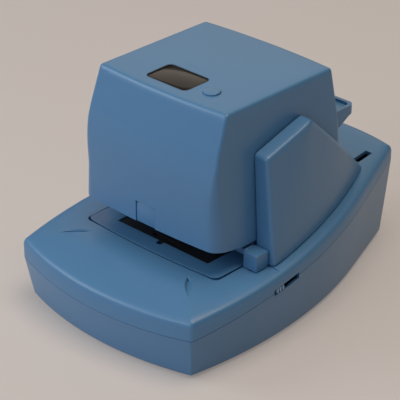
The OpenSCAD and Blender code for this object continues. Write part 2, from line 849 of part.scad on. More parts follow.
module nose_plate() {
    color(panel_black) difference() {
        block(-56, 56, -head_front + cover_wall + 0.4, throat_y + 1.6, head_floor + 1.5, arm_low);
        // way of the staples, open to the rear for the cartridge
        block(-11, 11, driver_y - 4, throat_y + 2, head_floor, arm_low + 1);
        block(-flap_w / 2 - 4, flap_w / 2 + 4, -head_front, flap_in + 7.5, head_floor, arm_low + 1);
        for (x = [-54, 54]) {
            translate([x, -71, head_floor]) rotate([0, 0, 45]) cube([13, 13, 12], center = true);
        }
        for (s = [-1, 1]) {
            translate([s * 24, driver_y, arm_low - 1.5]) cylinder(h = 3, d = rod_d, $fn = 48);
        }
    }
}

module throat_wall() {
    side = side_at(head_floor) - cover_wall - 0.6;
    color(panel_black) {
        block(-plate_x - 7.5, plate_x + 7.5, throat_y, throat_y + 1.6, table_h - 3, table_h + 3);
        block(-side, side, throat_y, throat_y + 1.6, table_h + 2, head_floor + 1.5);
    }
}

module guide_rods() {
    color("#c8cccf") for (s = [-1, 1]) {
        translate([s * 24, driver_y, arm_low - 1.5])
            cylinder(h = bridge_z - arm_low + 3, d = rod_d, $fn = 48);
    }
}

// ---------------------------------------------------------------- driver and lever

slide_low = pin_z - 6;
slide_h = 30;

module driver_slide() {
    color(dark_steel) difference() {
        union() {
            block(-31, 31, driver_y - 2, driver_y + 3, slide_low, slide_low + slide_h);
            for (s = [-1, 1]) {
                translate([s * 24, driver_y, slide_low]) cylinder(h = slide_h, d = rod_d + 6, $fn = 48);
            }
            for (s = [-1, 1]) {
                bar_x(s > 0 ? 20 : -33.5, s > 0 ? 33.5 : -20, 5, driver_y, pin_z);
            }
        }
        for (s = [-1, 1]) {
            translate([s * 24, driver_y, slide_low - 1])
                cylinder(h = slide_h + 2, d = rod_d + 2 * running, $fn = 48);
        }
        for (s = [-1, 1]) {
            bar_x(s > 0 ? 28 : -42, s > 0 ? 42 : -28, 2.5, driver_y, pin_z);
        }
        // window that saves weight
        block(-14, 14, driver_y - 6, driver_y + 6, slide_low + 16, slide_low + 25);
    }
}

module driver_pin() {
    color(steel) for (s = [-1, 1]) {
        bar_x(s > 0 ? 28 : -41.5, s > 0 ? 41.5 : -28, 2.5, driver_y, pin_z);
    }
}

module driver_blade() {
    tip = table_h + 1.5 + stroke;
    color("#c8cccf") {
        block(-6.5, 6.5, driver_y - 3, driver_y - 2, tip, slide_low + 12);
        block(-5, 5, driver_y - 3.6, driver_y - 3, slide_low + 2, slide_low + 10);
    }
}

// One arm of the lever, from the shaft at the rear to the driver pin in front
module lever_arm_profile() {
    run = lever_reach / cos(rest_angle);
    slot_half = 2.5 + 0.55;
    translate([lever_y, lever_z]) rotate(rest_angle) difference() {
        union() {
            circle(lever_shaft_d / 2 + 2.3, $fn = 64);
            translate([-run - 6, -5.6]) square([run + 6, 11.2]);
            translate([-run - 6, 0]) circle(5.6, $fn = 48);
            // lug for the cam roller
            rotate(-rest_angle) polygon([
                [cam_y - lever_y - 6.5, -8], [cam_y - lever_y - 4.5, roller_z - lever_z],
                [cam_y - lever_y + 4.5, roller_z - lever_z], [cam_y - lever_y + 12, -4]
            ]);
            rotate(-rest_angle) translate([cam_y - lever_y, roller_z - lever_z])
                circle(4.5, $fn = 48);
        }
        // open slot for the driver pin, which slides outwards as the lever swings
        translate([-run - 14, -slot_half]) square([16, 2 * slot_half]);
        translate([-run + 2, 0]) circle(slot_half, $fn = 40);
    }
}

module drive_lever() {
    color(steel) difference() {
        union() {
            for (s = [-1, 1]) {
                side_profile(s > 0 ? arm_x : -arm_x - arm_t, s > 0 ? arm_x + arm_t : -arm_x)
                    lever_arm_profile();
            }
            bar_x(-arm_x, arm_x, lever_shaft_d / 2 + 2, lever_y, lever_z);
        }
        bar_x(-arm_x - 9, arm_x + 9, lever_shaft_d / 2 + running, lever_y, lever_z);
        for (s = [-1, 1]) {
            bar_x(s > 0 ? arm_x - 1 : -arm_x - 9, s > 0 ? arm_x + 9 : -arm_x + 1, 2,
                  cam_y, roller_z);
        }
    }
}

module lever_rollers() {
    color(steel) for (s = [-1, 1]) {
        bar_x(s > 0 ? arm_x : -cam_x - cam_w, s > 0 ? cam_x + cam_w : -arm_x, 2, cam_y, roller_z);
        difference() {
            bar_x(s > 0 ? cam_x - 0.2 : -cam_x - cam_w, s > 0 ? cam_x + cam_w : -cam_x + 0.2,
                  roller_r, cam_y, roller_z);
            bar_x(s > 0 ? cam_x - 1 : -cam_x - cam_w - 1, s > 0 ? cam_x + cam_w + 1 : -cam_x + 1,
                  2, cam_y, roller_z);
        }
    }
}

module lever_shaft() {
    color("#c8cccf") bar_x(-plate_x - plate_gauge - 1, plate_x + plate_gauge + 1,
                           lever_shaft_d / 2, lever_y, lever_z);
}

// Coiled wire along X: rings of six points swept round a helix
module return_spring() {
    coil_r = lever_shaft_d / 2 + 2 + 0.9;
    wire_r = 0.6;
    turns = 5;
    per_turn = 12;
    sides = 5;
    pitch = 2.2;
    count = turns * per_turn;
    points = [for (i = [0:count], k = [0:sides - 1])
        let (a = 360 * i / per_turn, b = 360 * k / sides, r = coil_r + wire_r * cos(b))
        [16 + pitch * i / per_turn + wire_r * sin(b),
         lever_y + r * cos(a), lever_z + r * sin(a)]];
    walls = [for (i = [0:count - 1], k = [0:sides - 1])
        [i * sides + k, i * sides + (k + 1) % sides,
         (i + 1) * sides + (k + 1) % sides, (i + 1) * sides + k]];
    caps = [[for (k = [sides - 1:-1:0]) k], [for (k = [0:sides - 1]) count * sides + k]];
    color(steel) polyhedron(points, concat(walls, caps), convexity = 10);
}

// ---------------------------------------------------------------- gear train

// A spur gear's outline with straight-flanked teeth, one tooth centred on angle turn
module gear_outline(teeth, turn = 0) {
    pitch = pitch_r(teeth);
    tip = pitch + 0.85 * gear_module;
    root = pitch - 1.15 * gear_module;
    step = 360 / teeth;
    polygon([for (i = [0:teeth - 1], k = [0:3])
        let (a = turn + step * i + step * [-0.3, -0.13, 0.13, 0.3][k],
             r = [root, tip, tip, root][k])
        [r * cos(a), r * sin(a)]]);
}

module gear(teeth, x0, x1, y, z, bore, turn) {
    side_profile(x0, x1) translate([y, z]) difference() {
        gear_outline(teeth, turn);
        circle(bore, $fn = 48);
    }
}

// Direction from the cam gear to the idler and from the idler to the pinion
toward_idler = atan2(idler_z - cam_z, idler_y - cam_y);
toward_motor = atan2(motor_z - idler_z, motor_y - idler_y);

module cam_gear() {
    color(nylon) gear(cam_teeth, -3, 3, cam_y, cam_z, cam_shaft_d / 2, toward_idler);
}

module idler_gear() {
    color(nylon) {
        gear(small_teeth, -3.4, 4.6, idler_y, idler_z, idler_shaft_d / 2 + running,
             toward_idler + 180 + 180 / small_teeth);
        gear(idler_teeth, 4.6, 8.6, idler_y, idler_z, idler_shaft_d / 2 + running, toward_motor);
    }
}

module pinion() {
    color(brass) gear(pinion_teeth, 4.2, 9, motor_y, motor_z, 1.5,
                      toward_motor + 180 + 180 / pinion_teeth);
    color(steel) bar_x(3.6, plate_x - motor_len - 0.1, 1.5, motor_y, motor_z);
}

module idler_shaft() {
    color("#c8cccf") bar_x(-plate_x - plate_gauge, plate_x + plate_gauge,
                           idler_shaft_d / 2, idler_y, idler_z);
}

module cam_shaft() {
    color("#c8cccf") bar_x(-plate_x - plate_gauge - 1.5, plate_x + plate_gauge + 1.5,
                           cam_shaft_d / 2, cam_y, cam_z);
}

// Heart-shaped cams whose radius grows evenly over half a turn
module cam_pair() {
    steps = 24;
    outline = [for (i = [0:2 * steps - 1])
        let (a = 180 * i / steps, lift = i <= steps ? i : 2 * steps - i,
             r = cam_base + cam_rise * lift / steps)
        [r * cos(a - 90), r * sin(a - 90)]];
    color(dark_steel) for (s = [-1, 1]) {
        side_profile(s > 0 ? cam_x : -cam_x - cam_w, s > 0 ? cam_x + cam_w : -cam_x)
            translate([cam_y, cam_z]) difference() {
                polygon(outline);
                circle(cam_shaft_d / 2, $fn = 48);
            }
    }
}

module shaft_bushes() {
    color(brass) for (s = [-1, 1]) {
        x = s > 0 ? plate_x - 1 : -plate_x - plate_gauge - 1;
        difference() {
            union() {
                bar_x(x, x + plate_gauge + 2, cam_shaft_d / 2 + 2, cam_y, cam_z);
                bar_x(s > 0 ? x - 0.8 : x + plate_gauge + 1, s > 0 ? x + 1 : x + plate_gauge + 2.8,
                      cam_shaft_d / 2 + 3.5, cam_y, cam_z);
            }
            bar_x(x - 3, x + plate_gauge + 5, cam_shaft_d / 2 + running, cam_y, cam_z);
        }
    }
}

module motor() {
    x0 = plate_x - motor_len;
    color("#8e9296") {
        bar_x(x0, plate_x, motor_d / 2, motor_y, motor_z);
        difference() {
            bar_x(x0 - 2.2, x0, 5, motor_y, motor_z);
            bar_x(x0 - 3, x0 + 1, 1.5 + running, motor_y, motor_z);
        }
    }
    color(panel_black) for (s = [-1, 1]) {
        translate([plate_x - 5, motor_y + s * 6 - 1, motor_z + motor_d / 2 - 3]) cube([4, 2, 4.5]);
    }
}

// ---------------------------------------------------------------- cartridge

module cartridge_box() {
    color("#3a3d41") difference() {
        union() {
            block(-cart_half, cart_half, cart_front, 42, cart_low, cart_top);
            // nose that guides the staples under the blade
            block(-9.5, 9.5, driver_y - 2.6, cart_front + 3, arm_low - 2.6, arm_low + 1.4);
            block(-9.5, 9.5, cart_front - 1, cart_front + 3, arm_low - 2.6, cart_low + 0.6);
        }
        block(-7, 7, driver_y - 3.4, driver_y + 1.2, arm_low - 4, cart_low + 2);
        // chamber of the staple coil, open at the top
        block(-cart_half + 2, cart_half - 2, cart_front + 4, 39, cart_low + 2, cart_top - 3);
        block(-cart_half + 8, cart_half - 8, cart_front + 12, 31, cart_low + 3, cart_top + 1);
        // the blade's way through the front wall stays open
        block(-8, 8, driver_y - 3, cart_front + 0.5, cart_low - 1, cart_low + 12);
    }
}

module staple_coil() {
    coil_r = 13.4;
    y = 2;
    color("#b9bcc0") {
        difference() {
            bar_x(-6.4, 6.4, coil_r, y, cart_low + 2 + coil_r);
            bar_x(-7, 7, 5.5, y, cart_low + 2 + coil_r);
        }
        block(-6.4, 6.4, cart_front + 4.2, y, cart_low + 2, cart_low + 3);
    }
}

module cartridge_door() {
    y0 = rear_at(pull_top);
    y1 = y0 + pull_reach;
    drop = 20;                           // height of the pull where it meets the door
    lean = drop * tan(rear_lean);
    color(shell_blue) {
        // the door has the bow and the lean of the head's rear wall
        intersection() {
            difference() {
                head_form(50);
                head_inside(40);
            }
            door_frame(0);
        }
        // tray-shaped finger pull with a tapered underside and round rear corners
        difference() {
            intersection() {
                union() {
                    side_profile(-pull_half, pull_half) pull_profile(y0 + 2, y1, drop, lean);
                    side_profile(-door_half + 1, door_half - 1) pull_profile(y0 + 0.4, y1, drop, lean);
                }
                translate([0, 0, pull_top - 40]) linear_extrude(60)
                    round_rect(-pull_half, y0 - 10, pull_half, y1, 5);
            }
            translate([0, 0, pull_top - 7]) linear_extrude(10)
                round_rect(-pull_half + 4, y0 + 3.4, pull_half - 4, y1 - 4, 3.5);
        }
        // neck that joins the box
        block(-cart_half + 4, cart_half - 4, 42, rear_at(cart_low + 20) - cover_wall + 2,
              cart_low + 6, cart_low + 26);
    }
}

module pull_profile(y0, y1, drop, lean) {
    polygon([
        [y0, pull_top], [y1, pull_top], [y1, pull_top - 10],
        [y1 - 4, pull_top - 12], [y0 + lean + 1, pull_top - drop], [y0 + lean, pull_top - drop]
    ]);
}

// ---------------------------------------------------------------- paper stop

stop_z = table_h + 0.3;

module stop_knob() {
    color(shell_blue) {
        translate([knob_x, knob_y, stop_z]) soft_block([knob, knob, knob - 1.5], 2);
        // stem and foot in the guide slot
        block(knob_x + 6, knob_x + 8, knob_y + 3, knob_y + knob - 3, table_h - 6.2, stop_z + 3);
        block(knob_x + 4.6, knob_x + 9.4, knob_y + 3, knob_y + knob - 3, table_h - 6.6, table_h - 4.6);
    }
}

module stop_bar() {
    color(shell_blue) {
        translate([-36, knob_y + 1.5, stop_z + 6.2]) cube([knob_x + 36, knob - 3.5, 4]);
        for (x = [-36, 14]) {
            block(x, x + 22, knob_y + 3, knob_y + 5.5, stop_z, stop_z + 6.4);
        }
    }
}

// ---------------------------------------------------------------- slide switch

module on_slope() {
    translate([0, slot_y, parting_h + deck_slope * slot_y]) rotate([slope_angle, 0, 0]) children();
}

module slide_knob() {
    color("#a9bccb") on_slope() {
        translate([half_w - 7.3, 2.2, -2]) cube([6.2, 9, 4]);
        for (i = [0:2]) {
            translate([half_w - 1.4, 3.4 + 2.8 * i, -2]) cube([1.2, 1.2, 4]);
        }
    }
}

module switch_body() {
    color(panel_black) on_slope() difference() {
        translate([half_w - 16, 0.5, -5]) cube([9.8, slot_len - 1, 10]);
        translate([half_w - 8, 1.8, -2.2]) cube([4, slot_len - 3.6, 4.4]);
    }
}

// ---------------------------------------------------------------- clinchers and trigger

clinch_z = plate_low - 5.5;          // pivots of the two clinchers
trigger_y = -40.2;
trigger_z = plate_low - 7.5;

module clincher_beam() {
    color(dark_steel) difference() {
        union() {
            block(-plate_x, plate_x, driver_y - 8, driver_y + 8, plate_low - 13.5, plate_low);
            // ears that carry the trigger lever
            for (x = [-7, 4.5]) {
                block(x, x + 2.5, driver_y + 7, trigger_y + 3.5, trigger_z - 4, trigger_z + 3.5);
            }
        }
        block(-16, 16, driver_y - 1.3, driver_y + 1.3, plate_low - 10.5, plate_low + 1);
        for (s = [-1, 1]) {
            translate([s * 11, driver_y, clinch_z]) rotate([90, 0, 0])
                cylinder(h = 10, r = 1.5, center = true, $fn = 32);
        }
        bar_x(-8, 8, 1.5 + running, trigger_y, trigger_z);
    }
}

module clincher() {
    front_profile(driver_y - 1, driver_y + 1) polygon([
        [0.6, clinch_z + 2.6], [1.6, clinch_z + 0.6], [8.4, clinch_z - 2.4],
        [13.2, clinch_z - 2.4], [13.2, clinch_z + 2.4], [2.6, clinch_z + 4.4],
        [0.6, clinch_z + 4.4]
    ]);
    translate([11, driver_y, clinch_z]) rotate([90, 0, 0])
        cylinder(h = 7, r = 1.5 - running, center = true, $fn = 32);
}

module right_clincher() {
    color(steel) clincher();
}

module left_clincher() {
    color(steel) mirror([1, 0, 0]) clincher();
}

module trigger_lever() {
    color(nylon) {
        side_profile(-2, 2) difference() {
            union() {
                translate([trigger_y, trigger_z]) circle(3.4, $fn = 32);
                polygon([
                    [trigger_y - 3, trigger_z], [trigger_y - 8, table_h + 3],
                    [trigger_y - 6, table_h + 3.4], [trigger_y + 0.5, trigger_z + 2.6]
                ]);
                polygon([
                    [trigger_y - 1, trigger_z - 1], [trigger_y + 10, trigger_z - 3],
                    [trigger_y + 10, trigger_z - 5.4], [trigger_y - 1, trigger_z - 3]
                ]);
            }
        }
        bar_x(-7, 7, 1.5, trigger_y, trigger_z);
    }
}

// ---------------------------------------------------------------- electrics

module circuit_board() {
    y = half_d - 72;
    z = floor_top + 3;
    color("#2f6b4a") block(5, 43, y, y + 44, z, z + 1.6);
    color("#2b2d30") translate([0, y, z + 1.6]) {
        block(10, 20, 8, 16, 0, 3.4);
        block(26, 38, 4, 12, 0, 10.4);
        for (i = [0:2]) {
            translate([12 + 9 * i, 32, 0]) cylinder(h = 14, r = 3.6, $fn = 32);
        }
    }
}

module transformer() {
    color(dark_steel) translate([0, half_d - 74, floor_top]) difference() {
        block(-43, -9, 0, 44, 0, 34);
        for (y = [8, 30]) {
            block(-44, -8, y, y + 6, 8, 26);
        }
    }
    color("#b8772f") translate([0, half_d - 59.5, floor_top]) block(-46, -6, 0, 15, 8.5, 25.5);
}

module inlet_socket() {
    y1 = half_d - 5;
    color(panel_black) difference() {
        block(-14, 14, half_d - 22, y1 + 1, 14, 34);
        block(-11.5, 11.5, y1 - 11, y1 + 6, 16.5, 31.5);
    }
    color("#c8cccf") for (p = [[-7, 22], [7, 22], [0, 26.5]]) {
        block(p[0] - 1, p[0] + 1, y1 - 11.2, y1 + 0.5, p[1] - 2.2, p[1] + 2.2);
    }
}

// ---------------------------------------------------------------- nodes

lower_case();
upper_case();
table_plate();
clincher_plate();
clincher_beam();
left_clincher();
right_clincher();
throat_wall();
head_cover();
nose_plate();
window_frame();
window_lens();
display_board();
top_button();
jam_flap();
flap_pin();
left_wing();
right_wing();
left_side_plate();
right_side_plate();
tie_bars();
top_bridge();
guide_rods();
driver_slide();
driver_pin();
driver_blade();
drive_lever();
lever_rollers();
lever_shaft();
return_spring();
cam_shaft();
cam_pair();
cam_gear();
shaft_bushes();
idler_gear();
idler_shaft();
pinion();
motor();
cartridge_box();
cartridge_door();
staple_coil();
stop_knob();
stop_bar();
slide_knob();
switch_body();
trigger_lever();
circuit_board();
transformer();
inlet_socket();
rubber_feet();
case_screws();
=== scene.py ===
"""Looks of an electric stapler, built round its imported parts. Lengths are in
millimetres until a piece is finished, and the frame's axes are kept: +X right,
+Y to the rear, +Z up, with the origin in the middle of the foot print."""
import math

import bmesh
import bpy
import numpy as np
from mathutils import Matrix, Vector


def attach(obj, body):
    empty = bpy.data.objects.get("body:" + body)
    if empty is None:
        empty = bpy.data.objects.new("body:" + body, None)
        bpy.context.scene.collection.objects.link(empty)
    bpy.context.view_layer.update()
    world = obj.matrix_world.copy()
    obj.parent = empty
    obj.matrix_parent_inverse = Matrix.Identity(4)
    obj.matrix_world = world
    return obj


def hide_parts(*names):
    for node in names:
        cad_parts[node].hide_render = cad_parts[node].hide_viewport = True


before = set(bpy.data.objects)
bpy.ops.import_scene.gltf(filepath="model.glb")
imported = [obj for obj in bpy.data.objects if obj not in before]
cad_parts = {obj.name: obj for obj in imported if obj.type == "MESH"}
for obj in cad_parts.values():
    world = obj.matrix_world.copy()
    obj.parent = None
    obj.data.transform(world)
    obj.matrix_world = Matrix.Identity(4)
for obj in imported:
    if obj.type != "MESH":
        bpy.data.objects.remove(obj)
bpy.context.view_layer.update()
scene = bpy.context.scene
MM = 0.001

# ---- materials


def linear(code):
    """An sRGB hex colour as linear light."""
    parts = [int(code[i:i + 2], 16) / 255 for i in (1, 3, 5)]
    return (*[v / 12.92 if v <= 0.04045 else ((v + 0.055) / 1.055) ** 2.4 for v in parts], 1.0)


def add(tree, kind, given=None, **settings):
    """Adds a node with its settings. What is given to an input is its value, or is
    linked to it: an output, or a node, which stands for its first output. An input
    takes several from a list."""
    made = tree.nodes.new(kind)
    for key, value in settings.items():
        setattr(made, key, value)
    for key, value in (given or {}).items():
        for one in value if isinstance(value, list) else [value]:
            if isinstance(one, bpy.types.Node):
                one = one.outputs[0]
            if isinstance(one, bpy.types.NodeSocket):
                tree.links.new(one, made.inputs[key])
            else:
                made.inputs[key].default_value = one
    return made


MOTTLE_SIZE = 25.0                       # between the wide changes of a surface's gloss


def finish_of(name, colour, roughness, metallic=0.0, ior=None, grain=None, grain_depth=0.0,
              mottle=0.0, stretch=(1, 1, 1), **surface):
    """A material from its base colour and roughness. grain is the spacing of its
    surface pattern in millimetres, grain_depth its height, mottle the part of the
    roughness that wanders, and stretch draws the pattern out along an axis."""
    material = bpy.data.materials.new(name)
    material.use_nodes = True
    tree = material.node_tree
    tree.nodes.clear()
    given = {"Base Color": linear(colour), "Roughness": roughness, "Metallic": metallic}
    if ior:
        given["IOR"] = ior
    if grain:
        place = add(tree, "ShaderNodeTexCoord").outputs["Object"]
        mapped = add(tree, "ShaderNodeMapping", {"Vector": place, "Scale": stretch})
        noise = add(tree, "ShaderNodeTexNoise",
                    {"Vector": mapped, "Scale": 1 / (grain * MM), "Detail": 2.0})
        given["Normal"] = add(tree, "ShaderNodeBump", {
            "Strength": 1.0, "Distance": grain_depth * MM, "Height": noise})
        if mottle:
            wide = add(tree, "ShaderNodeTexNoise",
                       {"Vector": place, "Scale": 1 / (MOTTLE_SIZE * MM), "Detail": 3.0})
            given["Roughness"] = [roughness, add(tree, "ShaderNodeMapRange", {
                "Value": wide, "To Min": roughness - mottle, "To Max": roughness + mottle})]
    shader = add(tree, "ShaderNodeBsdfPrincipled", {**given, **surface})
    add(tree, "ShaderNodeOutputMaterial", {"Surface": shader})
    return material


# The real grains and lines are finer than 0.3 mm. They are drawn at 0.3 to 0.8 mm, so that
# they just show.

# Injection-moulded ABS with a spark-eroded grain: an even satin blue with soft, wide
# highlights
ABS_BLUE = finish_of("ABS, moulded, satin blue", "#5285b0", 0.38, ior=1.53, grain=0.7,
                     grain_depth=0.01, mottle=0.03,
                     **{"Coat Weight": 0.15, "Coat Roughness": 0.24, "Coat IOR": 1.5})
# Glass-filled ABS, moulded black and left dull inside the throat
ABS_BLACK = finish_of("ABS, moulded, dull black", "#141516", 0.55, ior=1.53, grain=0.6,
                      grain_depth=0.015)
# Smoked acrylic, polished: a dark glassy pane that still shows what lies under it, and is
# uneven only over 30 mm
ACRYLIC_SMOKED = finish_of("Acrylic, smoked, polished", "#35332f", 0.12, ior=1.49, grain=30,
                           grain_depth=0.01, **{"Transmission Weight": 0.4,
                                                "Specular IOR Level": 0.18})
# Cold-rolled sheet steel, zinc plated: grey with faint rolling lines
STEEL_PLATED = finish_of("Steel, zinc plated", "#a9adb1", 0.38, 1.0, grain=0.4,
                         grain_depth=0.004, stretch=(1, 0.1, 1))
# Ground spring steel and drawn rods: bright, with fine lines along their length
STEEL_GROUND = finish_of("Steel, ground", "#c3c7ca", 0.24, 1.0, grain=0.3,
                         grain_depth=0.003, stretch=(1, 1, 0.08))
# Hardened steel, blackened: a dull dark grey on the driver and the cams
STEEL_DARK = finish_of("Steel, blackened", "#55585c", 0.42, 1.0, grain=0.4, grain_depth=0.005)
# Acetal, machined or moulded in its natural colour: waxy off-white
ACETAL = finish_of("Acetal, moulded, natural", "#e4e1d6", 0.38, ior=1.48, grain=0.8,
                   grain_depth=0.006, **{"Subsurface Weight": 0.1, "Subsurface Scale": 0.002})
# Brass, turned: warm yellow with fine turning lines
BRASS_TURNED = finish_of("Brass, turned", "#c9ab63", 0.28, 1.0, grain=0.3, grain_depth=0.004,
                         stretch=(0.1, 1, 1))
# Polystyrene, moulded charcoal: an even, slightly shiny box for the staples
PS_CHARCOAL = finish_of("Polystyrene, moulded, charcoal", "#3a3d41", 0.4, ior=1.59, grain=0.8,
                        grain_depth=0.01)
# Glass-epoxy laminate under green lacquer: glossy with a fine weave
BOARD_GREEN = finish_of("Glass epoxy, green lacquer", "#1f5a3c", 0.25, ior=1.55, grain=0.5,
                        grain_depth=0.01)
# Enamelled copper wire, wound: a dark orange sheen, ridged by its turns
COPPER_ENAMEL = finish_of("Copper wire, enamelled", "#9c5a2c", 0.3, 1.0, grain=0.6,
                          grain_depth=0.03, stretch=(0.1, 1, 1))
# Acetal in a pale blue-grey, moulded smooth: the slide switch
ACETAL_PALE = finish_of("Acetal, moulded, pale blue", "#a6c3d9", 0.4, ior=1.48, grain=0.5,
                        grain_depth=0.006)
# Nitrile rubber, moulded: black and dull, with a faint bloom
RUBBER_NITRILE = finish_of("Nitrile rubber, moulded", "#1d1d1e", 0.75, ior=1.52, grain=0.5,
                           grain_depth=0.03)

# ---- mesh helpers


def in_scene(name, data):
    """Puts a mesh, a lamp or a camera into the scene."""
    made = bpy.data.objects.new(name, data)
    scene.collection.objects.link(made)
    return made


def object_from(name, points, faces):
    """A mesh in the scene, from its points and faces."""
    mesh = bpy.data.meshes.new(name)
    mesh.from_pydata([tuple(map(float, p)) for p in points], [], faces)
    return in_scene(name, mesh)


def moved(obj, place, turn=0.0, axis="Z"):
    """Turns a shape about an axis through the origin, in degrees, then moves it."""
    obj.data.transform(Matrix.Translation(place)
                       @ Matrix.Rotation(math.radians(turn), 4, axis))
    return obj


def settle(obj):
    """Applies the object's modifiers to its mesh."""
    graph = bpy.context.evaluated_depsgraph_get()
    mesh = bpy.data.meshes.new_from_object(obj.evaluated_get(graph))
    obj.modifiers.clear()
    old = obj.data
    obj.data = mesh
    bpy.data.meshes.remove(old)
    return obj


def combine(target, others, operation="DIFFERENCE"):
    """Cuts, joins or intersects the target with closed meshes, which are used up."""
    for other in others:
        step = target.modifiers.new("combine", "BOOLEAN")
        step.operation = operation
        step.solver = "MANIFOLD"
        step.object = other
        settle(target)
        bpy.data.objects.remove(other)
    return target


def soften(obj, width, segments=3, angle=35):
    """Rounds every edge sharper than the angle."""
    step = obj.modifiers.new("soften", "BEVEL")
    step.width = width
    step.segments = segments
    step.limit_method = "ANGLE"
    step.angle_limit = math.radians(angle)
    return settle(obj)


def piece(obj, body, slot, material, *nodes, angle=32):
    """Finishes a piece: its size in metres, its shading, material and body. Its slot is not
    used.
    """
    obj.data.transform(Matrix.Scale(MM, 4))
    obj.data.materials.clear()
    obj.data.materials.append(material)
    for polygon in obj.data.polygons:
        polygon.material_index = 0
    obj.data.shade_smooth()
    obj.data.set_sharp_from_angle(angle=math.radians(angle))
    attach(obj, body)
    if nodes:
        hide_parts(*nodes)
    return obj


def arc(centre, radius, a0, a1, steps, first=0):
    """Points of an arc round a centre, between two angles in degrees."""
    turns = [math.radians(a0 + (a1 - a0) * i / steps) for i in range(first, steps + 1)]
    return [(centre[0] + radius * math.cos(t), centre[1] + radius * math.sin(t)) for t in turns]


def both_sides(right):
    """A closed ring from its right half, which runs from the front to the rear."""
    return right + [(-x, y) for x, y in reversed(right) if x > 0.001]


def raised(ring, z, slope=0.0):
    """A plan ring at a height, which may climb towards the rear."""
    return [(x, y, z + slope * y) for x, y in ring]


def loft(name, rings):
    """A closed skin through rings that are listed from the bottom up. Its ends are
    strips that run straight across from side to side."""
    n = len(rings[0])
    m = n // 2
    faces = []
    for k in range(len(rings) - 1):
        a = k * n
        faces += [(a + i, a + (i + 1) % n, a + n + (i + 1) % n, a + n + i) for i in range(n)]
    strips = [(0, 1, n - 1)] + [(i, i + 1, n - i - 1, n - i) for i in range(1, m - 1)]
    strips += [(m - 1, m, m + 1)]
    top = (len(rings) - 1) * n
    faces += [tuple(reversed(s)) for s in strips] + [tuple(top + i for i in s) for s in strips]
    return object_from(name, [p for ring in rings for p in ring], faces)


def prism(name, outline, z0, z1):
    """An outline in X and Y, listed anticlockwise, as a solid from z0 to z1."""
    n = len(outline)
    points = [(x, y, z) for z in (z0, z1) for x, y in outline]
    faces = [tuple(range(n - 1, -1, -1)), tuple(range(n, 2 * n))]
    faces += [(i, (i + 1) % n, n + (i + 1) % n, n + i) for i in range(n)]
    return object_from(name, points, faces)


def side_prism(name, outline, x0, x1):
    """An outline in Y and Z, listed anticlockwise seen from the right, from x0 to x1."""
    made = prism(name, outline, x0, x1)
    made.data.transform(Matrix(((0, 0, 1, 0), (1, 0, 0, 0), (0, 1, 0, 0), (0, 0, 0, 1))))
    return made


def block(name, x0, x1, y0, y1, z0, z1):
    """A box between its six planes."""
    return prism(name, [(x0, y0), (x1, y0), (x1, y1), (x0, y1)], z0, z1)


def round_rect(x0, y0, x1, y1, r):
    """A rectangle with round corners."""
    corners = [((x1 - r, y0 + r), -90), ((x1 - r, y1 - r), 0),
               ((x0 + r, y1 - r), 90), ((x0 + r, y0 + r), 180)]
    return [p for centre, a in corners for p in arc(centre, r, a, a + 90, 8)]


def disc(x, y, r, steps=48):
    """A circle as an outline."""
    turns = [2 * math.pi * i / steps for i in range(steps)]
    return [(x + r * math.cos(a), y + r * math.sin(a)) for a in turns]


def rod(name, x0, x1, r, y, z):
    """A cylinder along X."""
    return side_prism(name, disc(y, z, r), x0, x1)


def skin(name, start, rings, end):
    """A closed skin from a point, over rings of points, to a point."""
    n = len(rings[0])
    points = [start] + [p for ring in rings for p in ring] + [end]
    around = [(i, (i + 1) % n) for i in range(n)]
    faces = [(0, 1 + j, 1 + i) for i, j in around]
    for a in range(1, 1 + (len(rings) - 1) * n, n):
        faces += [(a + i, a + j, a + n + j, a + n + i) for i, j in around]
    last = len(points) - 1
    return object_from(name, points, faces + [(last - n + i, last - n + j, last)
                                              for i, j in around])


def hull(name, points):
    """The convex skin round a cloud of points."""
    cloud = bmesh.new()
    for p in points:
        cloud.verts.new(p)
    bmesh.ops.remove_doubles(cloud, verts=cloud.verts, dist=0.01)
    found = bmesh.ops.convex_hull(cloud, input=cloud.verts)
    unused = {v for v in found["geom_interior"] + found["geom_unused"]
              if isinstance(v, bmesh.types.BMVert)}
    bmesh.ops.delete(cloud, geom=list(unused), context="VERTS")
    bmesh.ops.recalc_face_normals(cloud, faces=cloud.faces)
    mesh = bpy.data.meshes.new(name)
    cloud.to_mesh(mesh)
    cloud.free()
    return in_scene(name, mesh)


def ball(x, y, z, r):
    """Points on a sphere."""
    return [(x + r * math.cos(a) * math.cos(b), y + r * math.sin(a) * math.cos(b),
             z + r * math.sin(b))
            for b in np.linspace(-math.pi / 2, math.pi / 2, 13)
            for a in np.linspace(0, 2 * math.pi, 25)[:-1]]


def crumb(x, y, z, dx, dy, dz):
    """The corners of a small box, from one of them."""
    return [(x + i, y + j, z + k) for i in (0, dx) for j in (0, dy) for k in (0, dz)]


def eased(rows, steps):
    """Rows of numbers with more between them, on a monotone cubic curve through
    them that is timed by the distance between rows."""
    rows = np.array(rows, float)
    t = np.concatenate([[0], np.cumsum(np.linalg.norm(np.diff(rows, axis=0), axis=1))])
    h = np.diff(t)
    rate = np.diff(rows, axis=0) / h[:, None]
    slope = np.zeros_like(rows)
    slope[0], slope[-1] = rate[0], rate[-1]
    for k in range(1, len(rows) - 1):
        same = rate[k - 1] * rate[k] > 0
        w0, w1 = 2 * h[k] + h[k - 1], h[k] + 2 * h[k - 1]
        with np.errstate(divide="ignore", invalid="ignore"):
            mean = (w0 + w1) / (w0 / rate[k - 1] + w1 / rate[k])
        slope[k] = np.where(same, mean, 0)
    out = [rows[0]]
    for k in range(len(rows) - 1):
        for s in np.arange(1, steps + 1) / steps:
            out.append((1 + 2 * s) * (1 - s) ** 2 * rows[k]
                       + s * (1 - s) ** 2 * h[k] * slope[k]
                       + s * s * (3 - 2 * s) * rows[k + 1]
                       - s * s * (1 - s) * h[k] * slope[k + 1])
    return out


